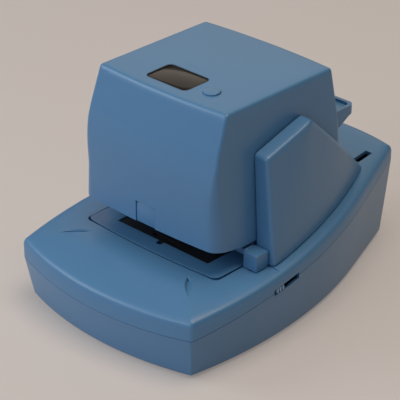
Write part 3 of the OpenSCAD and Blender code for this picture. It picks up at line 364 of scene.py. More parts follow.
# ---- what repeats

def tree_of(name, **sizes):
    """A Geometry Nodes tree that takes loose points and named sizes, and its inputs."""
    tree = bpy.data.node_groups.new(name, "GeometryNodeTree")
    tree.interface.new_socket("Geometry", in_out="OUTPUT", socket_type="NodeSocketGeometry")
    tree.interface.new_socket("Points", in_out="INPUT", socket_type="NodeSocketGeometry")
    for key, value in sizes.items():
        kind = "NodeSocketInt" if isinstance(value, int) else "NodeSocketFloat"
        made = tree.interface.new_socket(key, in_out="INPUT", socket_type=kind)
        made.default_value = value
    return tree, add(tree, "NodeGroupInput").outputs


def close_tree(tree, material, *parts):
    """Joins a tree's parts, makes them one real mesh and gives it its material."""
    whole = add(tree, "GeometryNodeJoinGeometry", {0: list(parts)})
    real = add(tree, "GeometryNodeRealizeInstances", {0: whole})
    dressed = add(tree, "GeometryNodeSetMaterial", {0: real, "Material": material})
    add(tree, "NodeGroupOutput", {0: dressed})
    return tree


def grow(name, tree, points=((0, 0, 0),), **sizes):
    """Runs a tree on loose points and keeps its result as a plain mesh. Sizes other
    than the tree's own are set by their inputs' identifiers."""
    made = object_from(name, points, [])
    step = made.modifiers.new("grow", "NODES")
    step.node_group = tree
    for item in tree.interface.items_tree:
        if item.in_out == "INPUT" and item.name in sizes:
            step[item.identifier] = sizes[item.name]
    return settle(made)


def distance_out(tree):
    """Distance of a point from the upright axis."""
    flat = add(tree, "ShaderNodeVectorMath", {
        0: add(tree, "GeometryNodeInputPosition"), 1: (1, 1, 0)}, operation="MULTIPLY")
    return add(tree, "ShaderNodeVectorMath", {0: flat}, operation="LENGTH").outputs["Value"]


def lifted_foot(tree, cylinder, steps):
    """Lifts a cylinder's lower end by its distance from the axis, worked on in steps."""
    rise = distance_out(tree)
    for operation, other in steps:
        rise = add(tree, "ShaderNodeMath", {0: rise, 1: other}, operation=operation)
    return add(tree, "GeometryNodeSetPosition", {
        "Geometry": cylinder, "Selection": cylinder.outputs["Bottom"],
        "Offset": add(tree, "ShaderNodeCombineXYZ", {"Z": rise})})


def rib_tree():
    """Round ribs in a row along Y."""
    tree, size = tree_of("Ribs", Count=3, Spacing=2.8, Radius=0.8, Length=4.0)
    step = add(tree, "ShaderNodeCombineXYZ", {"Y": size["Spacing"]})
    row = add(tree, "GeometryNodeMeshLine", {"Count": size["Count"], "Offset": step})
    rib = add(tree, "GeometryNodeMeshCylinder", {
        "Vertices": 20, "Radius": size["Radius"], "Depth": size["Length"]})
    placed = add(tree, "GeometryNodeInstanceOnPoints", {"Points": row, "Instance": rib})
    return close_tree(tree, ACETAL_PALE, placed)


def screw_tree():
    """Pan-head screws with a cross recess in the underside, one on each point."""
    tree, size = tree_of("Screws", Head=6.0, Dome=0.7, Depth=2.6, Recess=3.5, Shank=2.5,
                         Length=33.0)
    radius, thin, half = [
        add(tree, "ShaderNodeMath", {0: size[key], 1: 0.5}, operation="MULTIPLY")
        for key in ("Head", "Shank", "Depth")]
    pan = add(tree, "GeometryNodeMeshCylinder", {
        "Vertices": 40, "Side Segments": 2, "Fill Segments": 6, "Radius": radius,
        "Depth": size["Depth"]})
    domed = lifted_foot(tree, pan, [
        ("DIVIDE", radius), ("POWER", 2.0), ("MULTIPLY", size["Dome"])])
    low = add(tree, "ShaderNodeMath", {0: half, 1: -1.0}, operation="MULTIPLY")
    low = add(tree, "ShaderNodeCombineXYZ", {"Z": low})
    blade = add(tree, "ShaderNodeCombineXYZ", {"X": size["Recess"], "Y": 0.8, "Z": 2.4})
    blade = add(tree, "GeometryNodeMeshCube", {"Size": blade})
    cross = [add(tree, "GeometryNodeTransform", {
        "Geometry": blade, "Translation": low, "Rotation": (0, 0, turn)})
        for turn in (0, math.pi / 2)]
    head = add(tree, "GeometryNodeMeshBoolean", {"Mesh 1": domed, "Mesh 2": cross},
               operation="DIFFERENCE", solver="EXACT")
    shank = add(tree, "GeometryNodeMeshCylinder", {
        "Vertices": 24, "Radius": thin, "Depth": size["Length"]})
    up = add(tree, "ShaderNodeMath", {0: size["Length"], 1: 0.5, 2: half},
             operation="MULTIPLY_ADD")
    up = add(tree, "ShaderNodeCombineXYZ", {"Z": up})
    shank = add(tree, "GeometryNodeTransform", {"Geometry": shank, "Translation": up})
    screw = add(tree, "GeometryNodeJoinGeometry", {0: [head, shank]})
    placed = add(tree, "GeometryNodeInstanceOnPoints",
                 {"Points": size["Points"], "Instance": screw})
    return close_tree(tree, STEEL_PLATED, placed)


def foot_tree():
    """Round feet with rings moulded into the sole, one on each point."""
    tree, size = tree_of("Feet", Diameter=14.0, Depth=3.0, Rings=3.0, Relief=0.4)
    radius = add(tree, "ShaderNodeMath", {0: size["Diameter"], 1: 0.5}, operation="MULTIPLY")
    pad = add(tree, "GeometryNodeMeshCylinder", {
        "Vertices": 48, "Side Segments": 2, "Fill Segments": 18, "Radius": radius,
        "Depth": size["Depth"]})
    ringed = lifted_foot(tree, pad, [
        ("DIVIDE", radius), ("MULTIPLY", size["Rings"]), ("MULTIPLY", math.tau),
        ("COSINE", 0.0), ("SUBTRACT", 1.0), ("MULTIPLY", size["Relief"]), ("MULTIPLY", -0.5)])
    placed = add(tree, "GeometryNodeInstanceOnPoints",
                 {"Points": size["Points"], "Instance": ringed})
    return close_tree(tree, RUBBER_NITRILE, placed)


def spring_tree():
    """A round wire wound along X."""
    tree, size = tree_of("Spring", Turns=5.0, Radius=6.9, Wire=0.6, Length=11.0)
    path = add(tree, "GeometryNodeCurveSpiral", {
        "Resolution": 40, "Rotations": size["Turns"], "Start Radius": size["Radius"],
        "End Radius": size["Radius"], "Height": size["Length"]})
    ring = add(tree, "GeometryNodeCurvePrimitiveCircle",
               {"Resolution": 10, "Radius": size["Wire"]})
    wire = add(tree, "GeometryNodeCurveToMesh",
               {"Curve": path, "Profile Curve": ring, "Fill Caps": True})
    laid = add(tree, "GeometryNodeTransform",
               {"Geometry": wire, "Rotation": (0, math.pi / 2, 0)})
    return close_tree(tree, STEEL_GROUND, laid)


def staple_tree():
    """Staples side by side: a coil wound round X, and the strip that leaves its foot."""
    tree, size = tree_of("Staples", Count=760, Turns=8.0, Inner=5.9, Outer=13.0, Width=12.8,
                         Strip=78)
    path = add(tree, "GeometryNodeCurveSpiral", {
        "Resolution": 60, "Height": 0.0, "Rotations": size["Turns"],
        "Start Radius": size["Inner"], "End Radius": size["Outer"]})
    beads = add(tree, "GeometryNodeResampleCurve", {"Curve": path, "Count": size["Count"]},
                mode="COUNT")
    facing = add(tree, "FunctionNodeAlignRotationToVector",
                 {"Vector": add(tree, "GeometryNodeInputTangent")}, axis="X")
    wire = add(tree, "ShaderNodeCombineXYZ", {"X": 0.5, "Y": 0.7, "Z": size["Width"]})
    wire = add(tree, "GeometryNodeMeshCube", {"Size": wire})
    coil = add(tree, "GeometryNodeInstanceOnPoints",
               {"Points": beads, "Instance": wire, "Rotation": facing})
    coil = add(tree, "GeometryNodeTransform",
               {"Geometry": coil, "Rotation": (0, math.pi / 2, 0)})
    row = add(tree, "GeometryNodeMeshLine", {"Offset": (0, -0.6, 0), "Count": size["Strip"]})
    wire = add(tree, "ShaderNodeCombineXYZ", {"X": size["Width"], "Y": 0.5, "Z": 0.7})
    wire = add(tree, "GeometryNodeMeshCube", {"Size": wire})
    strip = add(tree, "GeometryNodeInstanceOnPoints", {"Points": row, "Instance": wire})
    low = add(tree, "ShaderNodeMath", {0: size["Outer"], 1: -1.0}, operation="MULTIPLY")
    low = add(tree, "ShaderNodeCombineXYZ", {"Z": low})
    strip = add(tree, "GeometryNodeTransform", {"Geometry": strip, "Translation": low})
    return close_tree(tree, STEEL_GROUND, coil, strip)


# ---- base outline

# The plan's arcs and corners; y of the widest place, of the side arc's end, and of the
# turn between the table and the sloping deck; heights; seams and clearances
HALF_W, HALF_D = 86.5, 130.0
SIDE_R, FRONT_R, REAR_R, CORNER_R = 330.0, 240.0, 200.0, 4.0
BELLY_Y, TAIL_Y, JOIN_Y, DECK_TURN = -50.0, 66.0, -47.0, 3.0
PARTING_H, DECK_SLOPE, TABLE_H, WALL = 45.6, 0.12, 52.0, 2.4
DECK_H = PARTING_H + 12.0
SEAM, LIP_H, GAP = 0.3, 2.0, 0.3
FOOT_LIFT, FLOOR_T, BASE_TAPER = 2.0, 3.0, 5.5
SLOPE_ANGLE = math.degrees(math.atan(DECK_SLOPE))
SIDE_CENTRE = np.array([HALF_W - SIDE_R, BELLY_Y])
FRONT_CENTRE = np.array([0, FRONT_R - HALF_D])
REAR_CENTRE = np.array([0, HALF_D - REAR_R])
TAIL_ANGLE = math.degrees(math.asin((TAIL_Y - BELLY_Y) / SIDE_R))
TAIL_NORMAL = np.array([math.cos(math.radians(TAIL_ANGLE)), math.sin(math.radians(TAIL_ANGLE))])
TAIL_ALONG = np.array([-TAIL_NORMAL[1], TAIL_NORMAL[0]])


def round_at(inset):
    """Radius of the plan's corners at an inset; far in they open out again."""
    return max(CORNER_R - inset, 0.6) + 0.12 * max(inset, 0)


def front_corner(inset):
    """Centre of the round corner between the front's arc and the side's."""
    r = round_at(inset)
    ra, rb = SIDE_R - inset - r, FRONT_R - inset - r
    apart = FRONT_CENTRE - SIDE_CENTRE
    d = np.linalg.norm(apart)
    u = apart / d
    a = (ra * ra - rb * rb + d * d) / (2 * d)
    return SIDE_CENTRE + a * u + math.sqrt(ra * ra - a * a) * np.array([u[1], -u[0]])


def rear_corner(inset):
    """Centre of the round corner between the side's tangent and the rear's arc."""
    r = round_at(inset)
    rb = REAR_R - inset - r
    t = TAIL_NORMAL @ (SIDE_CENTRE - REAR_CENTRE) + SIDE_R - inset - r
    return REAR_CENTRE + t * TAIL_NORMAL + math.sqrt(rb * rb - t * t) * TAIL_ALONG


def angle_of(v):
    """Direction of a vector in plan, in degrees."""
    return math.degrees(math.atan2(v[1], v[0]))


def base_ring(inset):
    """The base in plan: bowed front, long side arcs that end in tangents, bowed rear
    and round corners, all moved inwards by the inset."""
    c, e, r = front_corner(inset), rear_corner(inset), round_at(inset)
    a1, a2, a3 = [angle_of(v) for v in (c - FRONT_CENTRE, c - SIDE_CENTRE, e - REAR_CENTRE)]
    side = arc(SIDE_CENTRE, SIDE_R - inset, a2, TAIL_ANGLE, 40, 1)
    start, end = np.array(side[-1]), e + r * TAIL_NORMAL
    tail = [tuple(start + (end - start) * k / 10) for k in range(1, 11)]
    return both_sides(arc(FRONT_CENTRE, FRONT_R - inset, -90, a1, 24) + arc(c, r, a1, a2, 8, 1)
                      + side + tail + arc(e, r, TAIL_ANGLE, a3, 8, 1)
                      + arc(REAR_CENTRE, REAR_R - inset, a3, 90, 14, 1))


def top_z(y, inset, rise, front_z):
    """Height of the case's top at a depth: the deck's slope at the rear and an even
    fall to the front, with a soft turn between them."""
    at_join = rise + DECK_SLOPE * JOIN_Y
    fall = (at_join - front_z) / (HALF_D + JOIN_Y - inset)
    d = y - JOIN_Y
    bend = (DECK_SLOPE - fall) / 2 * (math.sqrt(d * d + DECK_TURN ** 2) - DECK_TURN / 2)
    return at_join + (DECK_SLOPE + fall) / 2 * d + bend


# The case's edge: inset, drop under the deck, and drop under the table's level in front
RIM = [(0, 4.5, 11.2), (1, 2.2, 9.0), (3.4, 0.8, 7.3), (9, 0.1, 5.5), (22, 0, 2.2),
       (32, 0, 0.5), (42, 0, 0.02)]


def case_top(name, wall=0.0):
    """The upper case's outer form, or with a wall the room inside it."""
    if wall:
        lip = PARTING_H + LIP_H + SEAM
        rings = [raised(base_ring(inset), z, DECK_SLOPE)
                 for inset, z in ((wall / 2, -20), (wall / 2, lip), (wall, lip))]
        levels = [RIM[0], (3, 0.9, 7.2), *RIM[3:5], RIM[6]]
    else:
        rings = [raised(base_ring(0), PARTING_H + SEAM, DECK_SLOPE)]
        levels = eased(RIM, 5)
    for inset, drop, front_drop in levels:
        inset = inset + wall
        rings.append([(x, y, top_z(y, inset, DECK_H - drop - wall, TABLE_H - front_drop - wall))
                      for x, y in base_ring(inset)])
    return loft(name, rings)


PLATE_HALF, PLATE_T, PLATE_FRONT, PLATE_R, PLATE_BOW = 60.2, 2.5, -77.0, 5.0, 600.0
GROOVE, MOAT = 1.2, 1.6
PLATE_LOW = TABLE_H - PLATE_T
THROAT_Y, SIDE_PLATE_X = -36.0, 49.0
BOSSES = [(62, -88), (-62, -88), (54, 66), (-54, 66)]
FEET = [(58, -100), (-58, -100), (36, 98), (-36, 98)]
WING_Y = -38.5
WELL_END = 46.3
KNOB, KNOB_X, STEM_X = 14.0, 60.0, 68.0
KNOB_Y, STOP_Y = WING_Y - GAP - KNOB, WING_Y - GAP
SLOT_Y, SLOT_LEN, SLOT_H = -46.5, 25.5, 4.8
VENT_X, VENT_W, VENT_Y, VENT_LEN = 37.0, 5.8, 92.0, 15.0
MARK_X, MARK_Y, DISH, LEAF = 53.3, -92.5, (29, 5), (23, 3.3)
INLET_HALF, INLET_Z = 14.3, (13.7, 34.3)
THROUGH = (40.0, 60.0)                  # heights of a cutter that goes through the table
FAR = 200.0                             # reach of a cutter that goes past everything


def plate_outline(grow):
    """The table plate in plan: a bowed front edge and round front corners."""
    x1, y0, y1, r = PLATE_HALF + grow, PLATE_FRONT - grow, THROAT_Y - GAP, PLATE_R
    centre = (0, y0 + PLATE_BOW)
    cx = x1 - r
    cy = centre[1] - math.sqrt((PLATE_BOW - r) ** 2 - cx ** 2)
    turn = angle_of((cx, cy - centre[1]))
    return both_sides(arc(centre, PLATE_BOW, -90, turn, 16) + arc((cx, cy), r, turn, 0, 8, 1)
                      + [(x1, y1), (0, y1)])


def lens_radius(length, width):
    """Radius of the two arcs of a lens in plan."""
    return (length * length / 4 + width * width / 4) / width


def leaf(name, x, y, turn, length, width, z0, z1):
    """A lens between two arcs, as a cutter."""
    r = lens_radius(length, width)
    half = math.degrees(math.asin(length / 2 / r))
    outline = arc((0, r - width / 2), r, -90 - half, -90 + half, 20)
    outline += arc((0, width / 2 - r), r, 90 - half, 90 + half, 20)[1:-1]
    return moved(prism(name, outline, z0, z1), (x, y, 0), turn)


def spindle(name, x, y, z, turn, length, width):
    """A lens turned round its long axis, as a cutter."""
    r = lens_radius(length, width)
    rings = []
    for u in np.linspace(-length / 2, length / 2, 41)[1:-1]:
        w = width / 2 - r + math.sqrt(r * r - u * u)
        rings.append([(u, w * math.cos(a), w * math.sin(a))
                      for a in np.linspace(0, 2 * math.pi, 33)[:-1]])
    made = skin(name, (-length / 2, 0, 0), rings, (length / 2, 0, 0))
    return moved(made, (x, y, z), turn)


def on_slope(obj):
    """Moves a piece drawn at the switch slot's start onto the parting line's slope."""
    return moved(obj, (0, SLOT_Y, PARTING_H + DECK_SLOPE * SLOT_Y), SLOPE_ANGLE, "X")


def switch_slot():
    """The cutter of the slide switch's slot, for both halves of the case."""
    return on_slope(block("slot", HALF_W - 12, HALF_W + 8, 0, SLOT_LEN,
                          -SLOT_H / 2, SLOT_H / 2))


# Upper case
upper = case_top("Housing_Upper")
room = combine(case_top("room", WALL), [
    block("ledge", -PLATE_HALF - 4, PLATE_HALF + 4, PLATE_FRONT - 4, THROAT_Y - GAP,
          PLATE_LOW - WALL, TABLE_H + 1)]
    + [prism("boss", disc(x, y, 4), 10, 70) for x, y in BOSSES])
marks = []
for side in (1, -1):
    place = (side * MARK_X, MARK_Y)
    marks += [spindle("dish", *place, TABLE_H + 0.35, -45 * side, *DISH),
              leaf("leaf", *place, -45 * side, *LEAF, TABLE_H - 2.1, TABLE_H + 1)]
combine(upper, [
    room,
    block("seat", -HALF_W - 9, HALF_W + 9, JOIN_Y - 3, WING_Y + 0.5, TABLE_H, TABLE_H + 6),
    prism("plate seat", plate_outline(GROOVE), PLATE_LOW, TABLE_H + 1),
    combine(prism("moat", plate_outline(GROOVE), PLATE_LOW - MOAT, PLATE_LOW + 0.2),
            [prism("seat", plate_outline(-1.0), *THROUGH)]),
    block("plate hole", -SIDE_PLATE_X - 6.5, SIDE_PLATE_X + 6.5, PLATE_FRONT + 5,
          THROAT_Y + 1, TABLE_H - 12, TABLE_H + 1),
    block("well", -SIDE_PLATE_X - 8, SIDE_PLATE_X + 8, THROAT_Y - GAP, WELL_END,
          TABLE_H - 12, DECK_H + 20),
    block("guide", STEM_X - 1.3, STEM_X + 1.3, KNOB_Y + 2.4, STOP_Y - 0.8,
          TABLE_H - 12, TABLE_H + 1),
    prism("vent", round_rect(VENT_X - VENT_W / 2, VENT_Y, VENT_X + VENT_W / 2,
                             VENT_Y + VENT_LEN, 0.6), 40, 80),
    *marks, switch_slot()])
piece(upper, "base", "shell", ABS_BLUE, "upper_case")

# Lower case
FOOT_TOP = FOOT_LIFT + 1.8
rings = [raised(base_ring(BASE_TAPER + inset), FOOT_LIFT + rise)
         for inset, rise in ((1.6, 0), (0.7, 0.35), (0.15, 0.95), (-0.1, 1.8))]
for share in np.linspace(0, 1, 9)[1:]:
    rings.append([(x, y, FOOT_TOP + (PARTING_H + DECK_SLOPE * y - FOOT_TOP) * share)
                  for x, y in base_ring((BASE_TAPER - 0.1) * (1 - share))])
rings += [raised(base_ring(WALL / 2 + 0.15), z, DECK_SLOPE)
          for z in (PARTING_H, PARTING_H + LIP_H)]
lower = loft("Housing_Lower", rings)
combine(lower, [
    loft("room", [raised(base_ring(BASE_TAPER + WALL), FOOT_LIFT + FLOOR_T),
                  raised(base_ring(WALL + 0.1), PARTING_H - 3, DECK_SLOPE),
                  raised(base_ring(WALL + 0.1), PARTING_H + 5, DECK_SLOPE)]),
    switch_slot(),
    block("inlet", -INLET_HALF, INLET_HALF, HALF_D - 16, HALF_D + 14, *INLET_Z)]
    + [prism("screw", disc(x, y, 3.5, 32), -1, FOOT_LIFT + 6) for x, y in BOSSES]
    + [prism("foot", disc(x, y, 7.2), -1, FOOT_LIFT + 1) for x, y in FEET]
    + [prism("vent", round_rect(-40, y, -14, y + 3, 1.4), -1, 6) for y in range(62, 93, 6)])
piece(lower, "base", "shell", ABS_BLUE, "lower_case")

# ---- head

HEAD_W, HEAD_H, HEAD_FRONT, HEAD_REAR = 115.2, 163.6, 75.3, 38.5
HEAD_DRAFT, REAR_LEAN, BROW_LEAN, BROW_R, BOW, COVER = 0.05, 9.9, 18.5, 110.0, 2.9, 2.5
NOSE = HEAD_FRONT + BOW
EDGE_R, ROOF_R, REAR_LOW_R = 9.0, 2.5, 22.0
HEAD_FLOOR = TABLE_H + 15.5
BROW_LOW = 106.0
BROW_HIGH = BROW_LOW + BROW_R * math.sin(math.radians(BROW_LEAN))
BROW_DEPTH = BROW_R * (1 - math.cos(math.radians(BROW_LEAN)))


def rear_at(z):
    """Depth of the head's leaning rear, between its corners, at a height."""
    return HEAD_REAR + (HEAD_H - z) * math.tan(math.radians(REAR_LEAN))


def front_at(z):
    """Depth of the head's front: upright below, and leaning back above its brow."""
    if z < BROW_LOW:
        return -HEAD_FRONT
    if z < BROW_HIGH:
        return -HEAD_FRONT + BROW_R - math.sqrt(BROW_R ** 2 - (z - BROW_LOW) ** 2)
    return -HEAD_FRONT + BROW_DEPTH + (z - BROW_HIGH) * math.tan(math.radians(BROW_LEAN))


def head_ring(z, inset):
    """Plan of the head at a height: bowed front and rear, straight sides and round
    corners, which open out low down at the rear."""
    corner = max(ROOF_R, min(EDGE_R, EDGE_R - (z - 95) * 0.2))
    rear = max(corner, min(REAR_LOW_R, EDGE_R + (100 - z) * 0.4))
    x = HEAD_W / 2 + (HEAD_H - z) * HEAD_DRAFT
    bow_r = (x * x + BOW * BOW) / (2 * BOW)
    in_r = bow_r - inset
    soft = 0.1 * max(inset, 0)
    r, rr = max(corner - inset, 0.6) + soft, max(rear - inset, 0.6) + soft
    cx, rx = x - inset - r, x - inset - rr
    reach, back = math.sqrt((in_r - r) ** 2 - cx * cx), math.sqrt((in_r - rr) ** 2 - rx * rx)
    lean = math.degrees(math.asin(cx / (in_r - r)))
    turn = math.degrees(math.asin(rx / (in_r - rr)))
    front_y, rear_y = front_at(z) - BOW + bow_r, rear_at(z) + BOW - bow_r
    side = [(x - inset, y) for y in np.linspace(front_y - reach, rear_y + back, 14)[1:-1]]
    return both_sides(arc((0, front_y), in_r, -90, lean - 90, 18)
                      + arc((cx, front_y - reach), r, lean - 90, 0, 8, 1) + side
                      + arc((rx, rear_y + back), rr, 0, 90 - turn, 10)
                      + arc((0, rear_y), in_r, 90 - turn, 90, 12, 1))


# The roof's edge and crown: inset, and rise over the head's height
ROOF = [(0, -1.9), (0.35, -0.95), (1.05, -0.25), (2.5, 0.1), (8, 0.35), (20, 0.6), (35, 0.85),
        (45, 1.0)]


def head_form(name):
    """The head's outer form, from far below the deck up to the roof."""
    rings = [raised(head_ring(z, 0), z) for z in np.linspace(50, HEAD_H + ROOF[0][1], 38)]
    for inset, rise in eased(ROOF, 5)[1:]:
        rings.append(raised(head_ring(HEAD_H + min(rise, 0), inset), HEAD_H + rise))
    return loft(name, rings)


def head_room():
    """The room inside the head's walls, as a cutter."""
    return loft("room", [raised(head_ring(z, COVER), z)
                         for z in np.linspace(40, HEAD_H - COVER, 24)])


def below_deck(lift):
    """All that lies under the deck's slope, or a lift over it, as a cutter."""
    made = block("deck", -FAR, FAR, -1.5 * FAR, 1.5 * FAR, -80, 0)
    return moved(made, (0, 0, DECK_H + lift), SLOPE_ANGLE, "X")


PULL_TOP, DOOR_LOW, DOOR_HALF, PULL_HALF, PULL_REACH = 128.0, 74.0, 40.0, 55.5, 21.5


def door_frame(grow):
    """The bay of the cartridge door in the head's leaning rear, as a cutter."""
    made = block("door", -DOOR_HALF - grow, DOOR_HALF + grow, -8, 14,
                 DOOR_LOW - PULL_TOP - grow, grow)
    return moved(made, (0, rear_at(PULL_TOP), PULL_TOP), REAR_LEAN, "X")


WINDOW_W, WINDOW_D, WINDOW_X, WINDOW_Y, WINDOW_Z = 37.4, 24.6, -4.0, -43.0, HEAD_H + 0.5
WINDOW_R, WINDOW_LEAN = 4.2, 0.02


def window_pane(name, grow, z0, z1):
    """The window in plan, larger all round by grow, as a solid."""
    w, d = WINDOW_W / 2 + grow, WINDOW_D / 2 + grow
    return prism(name, round_rect(WINDOW_X - w, WINDOW_Y - d, WINDOW_X + w, WINDOW_Y + d,
                                  WINDOW_R + grow), z0, z1)


BUTTON_X, BUTTON_Y, BUTTON_R, BUTTON_EDGE, BOARD_Z = 27.8, -44.5, 5.7, 0.4, 155.4
BUTTON_LOW, BUTTON_TOP = BOARD_Z + 5.2, HEAD_H + 1.62
HEAD_EDGE, RISE_Y = HEAD_FLOOR + 3.2, -52.0      # the lower edge rises to the front
DIMPLE_AT = (-3.5, 31)                   # near the roof's rear edge
FLAP_HALF, FLAP_TOP, FLAP_Y = 8.7, HEAD_FLOOR + 17.8, 0.6 - NOSE
FLAP_PIN = (FLAP_Y + 2, FLAP_TOP - 2.2)

cover = head_form("Head_Cover")
combine(cover, [
    head_room(),
    below_deck(GAP),
    side_prism("throat", [(-FAR, 0), (THROAT_Y, 0), (THROAT_Y, HEAD_FLOOR),
                          (RISE_Y, HEAD_FLOOR), (4 - HEAD_FRONT, HEAD_EDGE),
                          (-FAR, HEAD_EDGE)], -FAR, FAR),
    window_pane("window", 0, HEAD_H - 8, HEAD_H + 8),
    prism("button", disc(BUTTON_X, BUTTON_Y, BUTTON_R + GAP, 64), BOARD_Z, 190),
    block("flap", -FLAP_HALF - 0.2, FLAP_HALF + 0.2, -NOSE - 2, -NOSE + COVER + 1.5,
          HEAD_FLOOR - 1, FLAP_TOP + 0.4),
    door_frame(GAP),
    leaf("dimple", *DIMPLE_AT, 0, 12.4, 4.0, HEAD_H + 0.4, HEAD_H + 4)])
piece(cover, "base", "shell", ABS_BLUE, "head_cover")

# Window, button and flap


def with_roof(obj):
    """Leans a pane's piece back with the crown of the roof."""
    obj.data.transform(Matrix(((1, 0, 0, 0), (0, 1, 0, 0),
                               (0, WINDOW_LEAN, 1, -WINDOW_LEAN * WINDOW_Y), (0, 0, 0, 1))))
    return obj


bezel = combine(window_pane("Window_Bezel", -0.1, HEAD_H - 3.6, WINDOW_Z),
                [window_pane("glass", -1.0, HEAD_H - 8, HEAD_H + 8)])
soften(with_roof(bezel), 0.25, 2)
piece(bezel, "base", "black_plastic", ABS_BLACK, "window_frame")
lens = with_roof(window_pane("Window_Lens", -1.1, WINDOW_Z - 2.1, WINDOW_Z - 0.35))
piece(soften(lens, 0.25, 2), "base", "window", ACRYLIC_SMOKED, "window_lens")

rim = BUTTON_TOP - BUTTON_EDGE
profile = [(2.5, BUTTON_LOW), (2.5, BUTTON_LOW + 1), (BUTTON_R, BUTTON_LOW + 1),
           (BUTTON_R, rim)]
profile += [(BUTTON_R + BUTTON_EDGE * (math.cos(a) - 1), rim + BUTTON_EDGE * math.sin(a))
            for a in np.linspace(0.3, math.pi / 2, 5)]
profile.append((BUTTON_R * 0.6, BUTTON_TOP + 0.14))
button = skin("Push_Button", (BUTTON_X, BUTTON_Y, BUTTON_LOW),
              [raised(disc(BUTTON_X, BUTTON_Y, r, 64), z) for r, z in profile],
              (BUTTON_X, BUTTON_Y, BUTTON_TOP + 0.2))
piece(button, "button", "shell", ABS_BLUE, "top_button")

flap = soften(block("Jam_Flap", -FLAP_HALF, FLAP_HALF, FLAP_Y, FLAP_Y + 2,
                    HEAD_EDGE, FLAP_PIN[1]), 0.3, 2)
knuckle = soften(rod("knuckle", -FLAP_HALF, FLAP_HALF, 2, *FLAP_PIN), 0.3, 2)
combine(flap, [knuckle], "UNION")
combine(flap, [rod("bore", -20, 20, 1.05, *FLAP_PIN)])
piece(flap, "flap", "shell", ABS_BLUE, "jam_flap")

# ---- side covers

WING_APEX, WING_FRONT, WING_R, WING_WALL = 141.4, 129.6, 2.0, 2.4
WING_APEX_Y, WING_TAIL_Y, WING_ARC_Y, WING_ARC_R = 5.7, 88.7, -59.3, SIDE_R + 20
WING_X, TAIL_W, WING_END = HALF_W - 7.2, 6.0, 70.0
WING_SIDE = WING_X - 8.6                 # the outer face at the top of the front
WING_IN = WING_SIDE - 24                 # inside the head, which cuts the cover off
WING_GAP = 0.9                           # at the foot and beside the head


def wing_arc(y):
    """The outer face's foot in plan."""
    return WING_X - (WING_ARC_R - math.sqrt(WING_ARC_R ** 2 - (y - WING_ARC_Y) ** 2))


def deck_at(y):
    """Height of the deck beside the head."""
    return DECK_H + DECK_SLOPE * y


def wing_edge(y):
    """Height of the slanting rear edge."""
    fall = (WING_APEX - deck_at(WING_TAIL_Y)) / (WING_TAIL_Y - WING_APEX_Y)
    return WING_APEX - (y - WING_APEX_Y) * fall


def wing(name):
    """The right side cover: the convex skin over its foot, its front's top edge and its
    slanting rear edge, evened out, hollowed, and cut off by the deck and the head."""
    r, front = WING_R, WING_Y + WING_R
    foot = [(WING_IN, WING_Y)] + arc((wing_arc(front) - r, front), r, -90, 0, 8)
    foot += [(wing_arc(y), y) for y in np.linspace(front, WING_TAIL_Y, 40)[1:]]
    tail = wing_arc(WING_TAIL_Y) - TAIL_W
    foot.append((tail, WING_TAIL_Y))
    points = [(x, y, deck_at(y) - z) for x, y in foot for z in (6, 0)]
    points += ball(WING_SIDE + 0.7 - r, front, WING_FRONT - r, r)
    points += ball(WING_SIDE - 1 - r, WING_APEX_Y, WING_APEX - r, r)
    for share in np.linspace(0.1, 0.95, 10):
        swell = 0.7 * math.sin(math.pi * share * 0.62)
        points += ball(WING_SIDE + 0.7 - 1.7 * share + swell - r,
                       front + share * (WING_APEX_Y - front),
                       WING_FRONT + share * (WING_APEX - WING_FRONT) - r, r)
    for y in np.linspace(9, WING_END, 22):
        swell = math.sin(math.pi * (y - WING_APEX_Y) / (WING_END - WING_APEX_Y))
        points += ball(wing_arc(y) - 0.045 * (wing_edge(y) - deck_at(y)) + 1.6 * swell - r,
                       y - r * 0.6, wing_edge(y) - r * 1.15 + 0.8 * swell, r)
    for y, z in ((WING_Y, WING_FRONT), (WING_APEX_Y, WING_APEX), (44, wing_edge(44))):
        points += crumb(WING_IN, y, z, 0.3, 0.3, -0.5)
    points += crumb(tail, WING_TAIL_Y - 0.3, deck_at(WING_TAIL_Y) + WING_GAP, 0.3, 0.3, 0.4)
    made = hull(name, points)
    even = made.modifiers.new("even", "REMESH")
    even.mode = "VOXEL"
    even.voxel_size = 1.1
    relax = made.modifiers.new("relax", "SMOOTH")
    relax.factor = 0.5
    relax.iterations = 12
    combine(settle(made), [below_deck(WING_GAP)])
    w, end = WING_WALL, WING_TAIL_Y - 18
    inner = [(WING_IN, WING_Y + w)]
    inner += [(wing_arc(y) - w - 0.4, y) for y in np.linspace(WING_Y + w, end, 12)]
    inner.append((WING_IN, end))
    points = [(x, y, deck_at(y) - 4 + z) for x, y in inner for z in (0, 0.1)]
    for y, z in ((WING_Y + w, WING_FRONT - w - 1), (WING_APEX_Y - 1, WING_APEX - w - 1.5)):
        points += crumb(WING_IN, y, z, 22.5 - w, 0.5, -1)
    head = loft("head", [raised(head_ring(z, -WING_GAP), z)
                         for z in np.linspace(40, 155, 36)])
    return combine(made, [hull("room", points), head])


right = wing("Wing_Right")
piece(right, "base", "shell", ABS_BLUE, "right_wing", angle=28)
left = wing("Wing_Left")
left.data.transform(Matrix.Scale(-1, 4, (1, 0, 0)))
left.data.flip_normals()
piece(left, "base", "shell", ABS_BLUE, "left_wing", angle=28)

# ---- table and throat

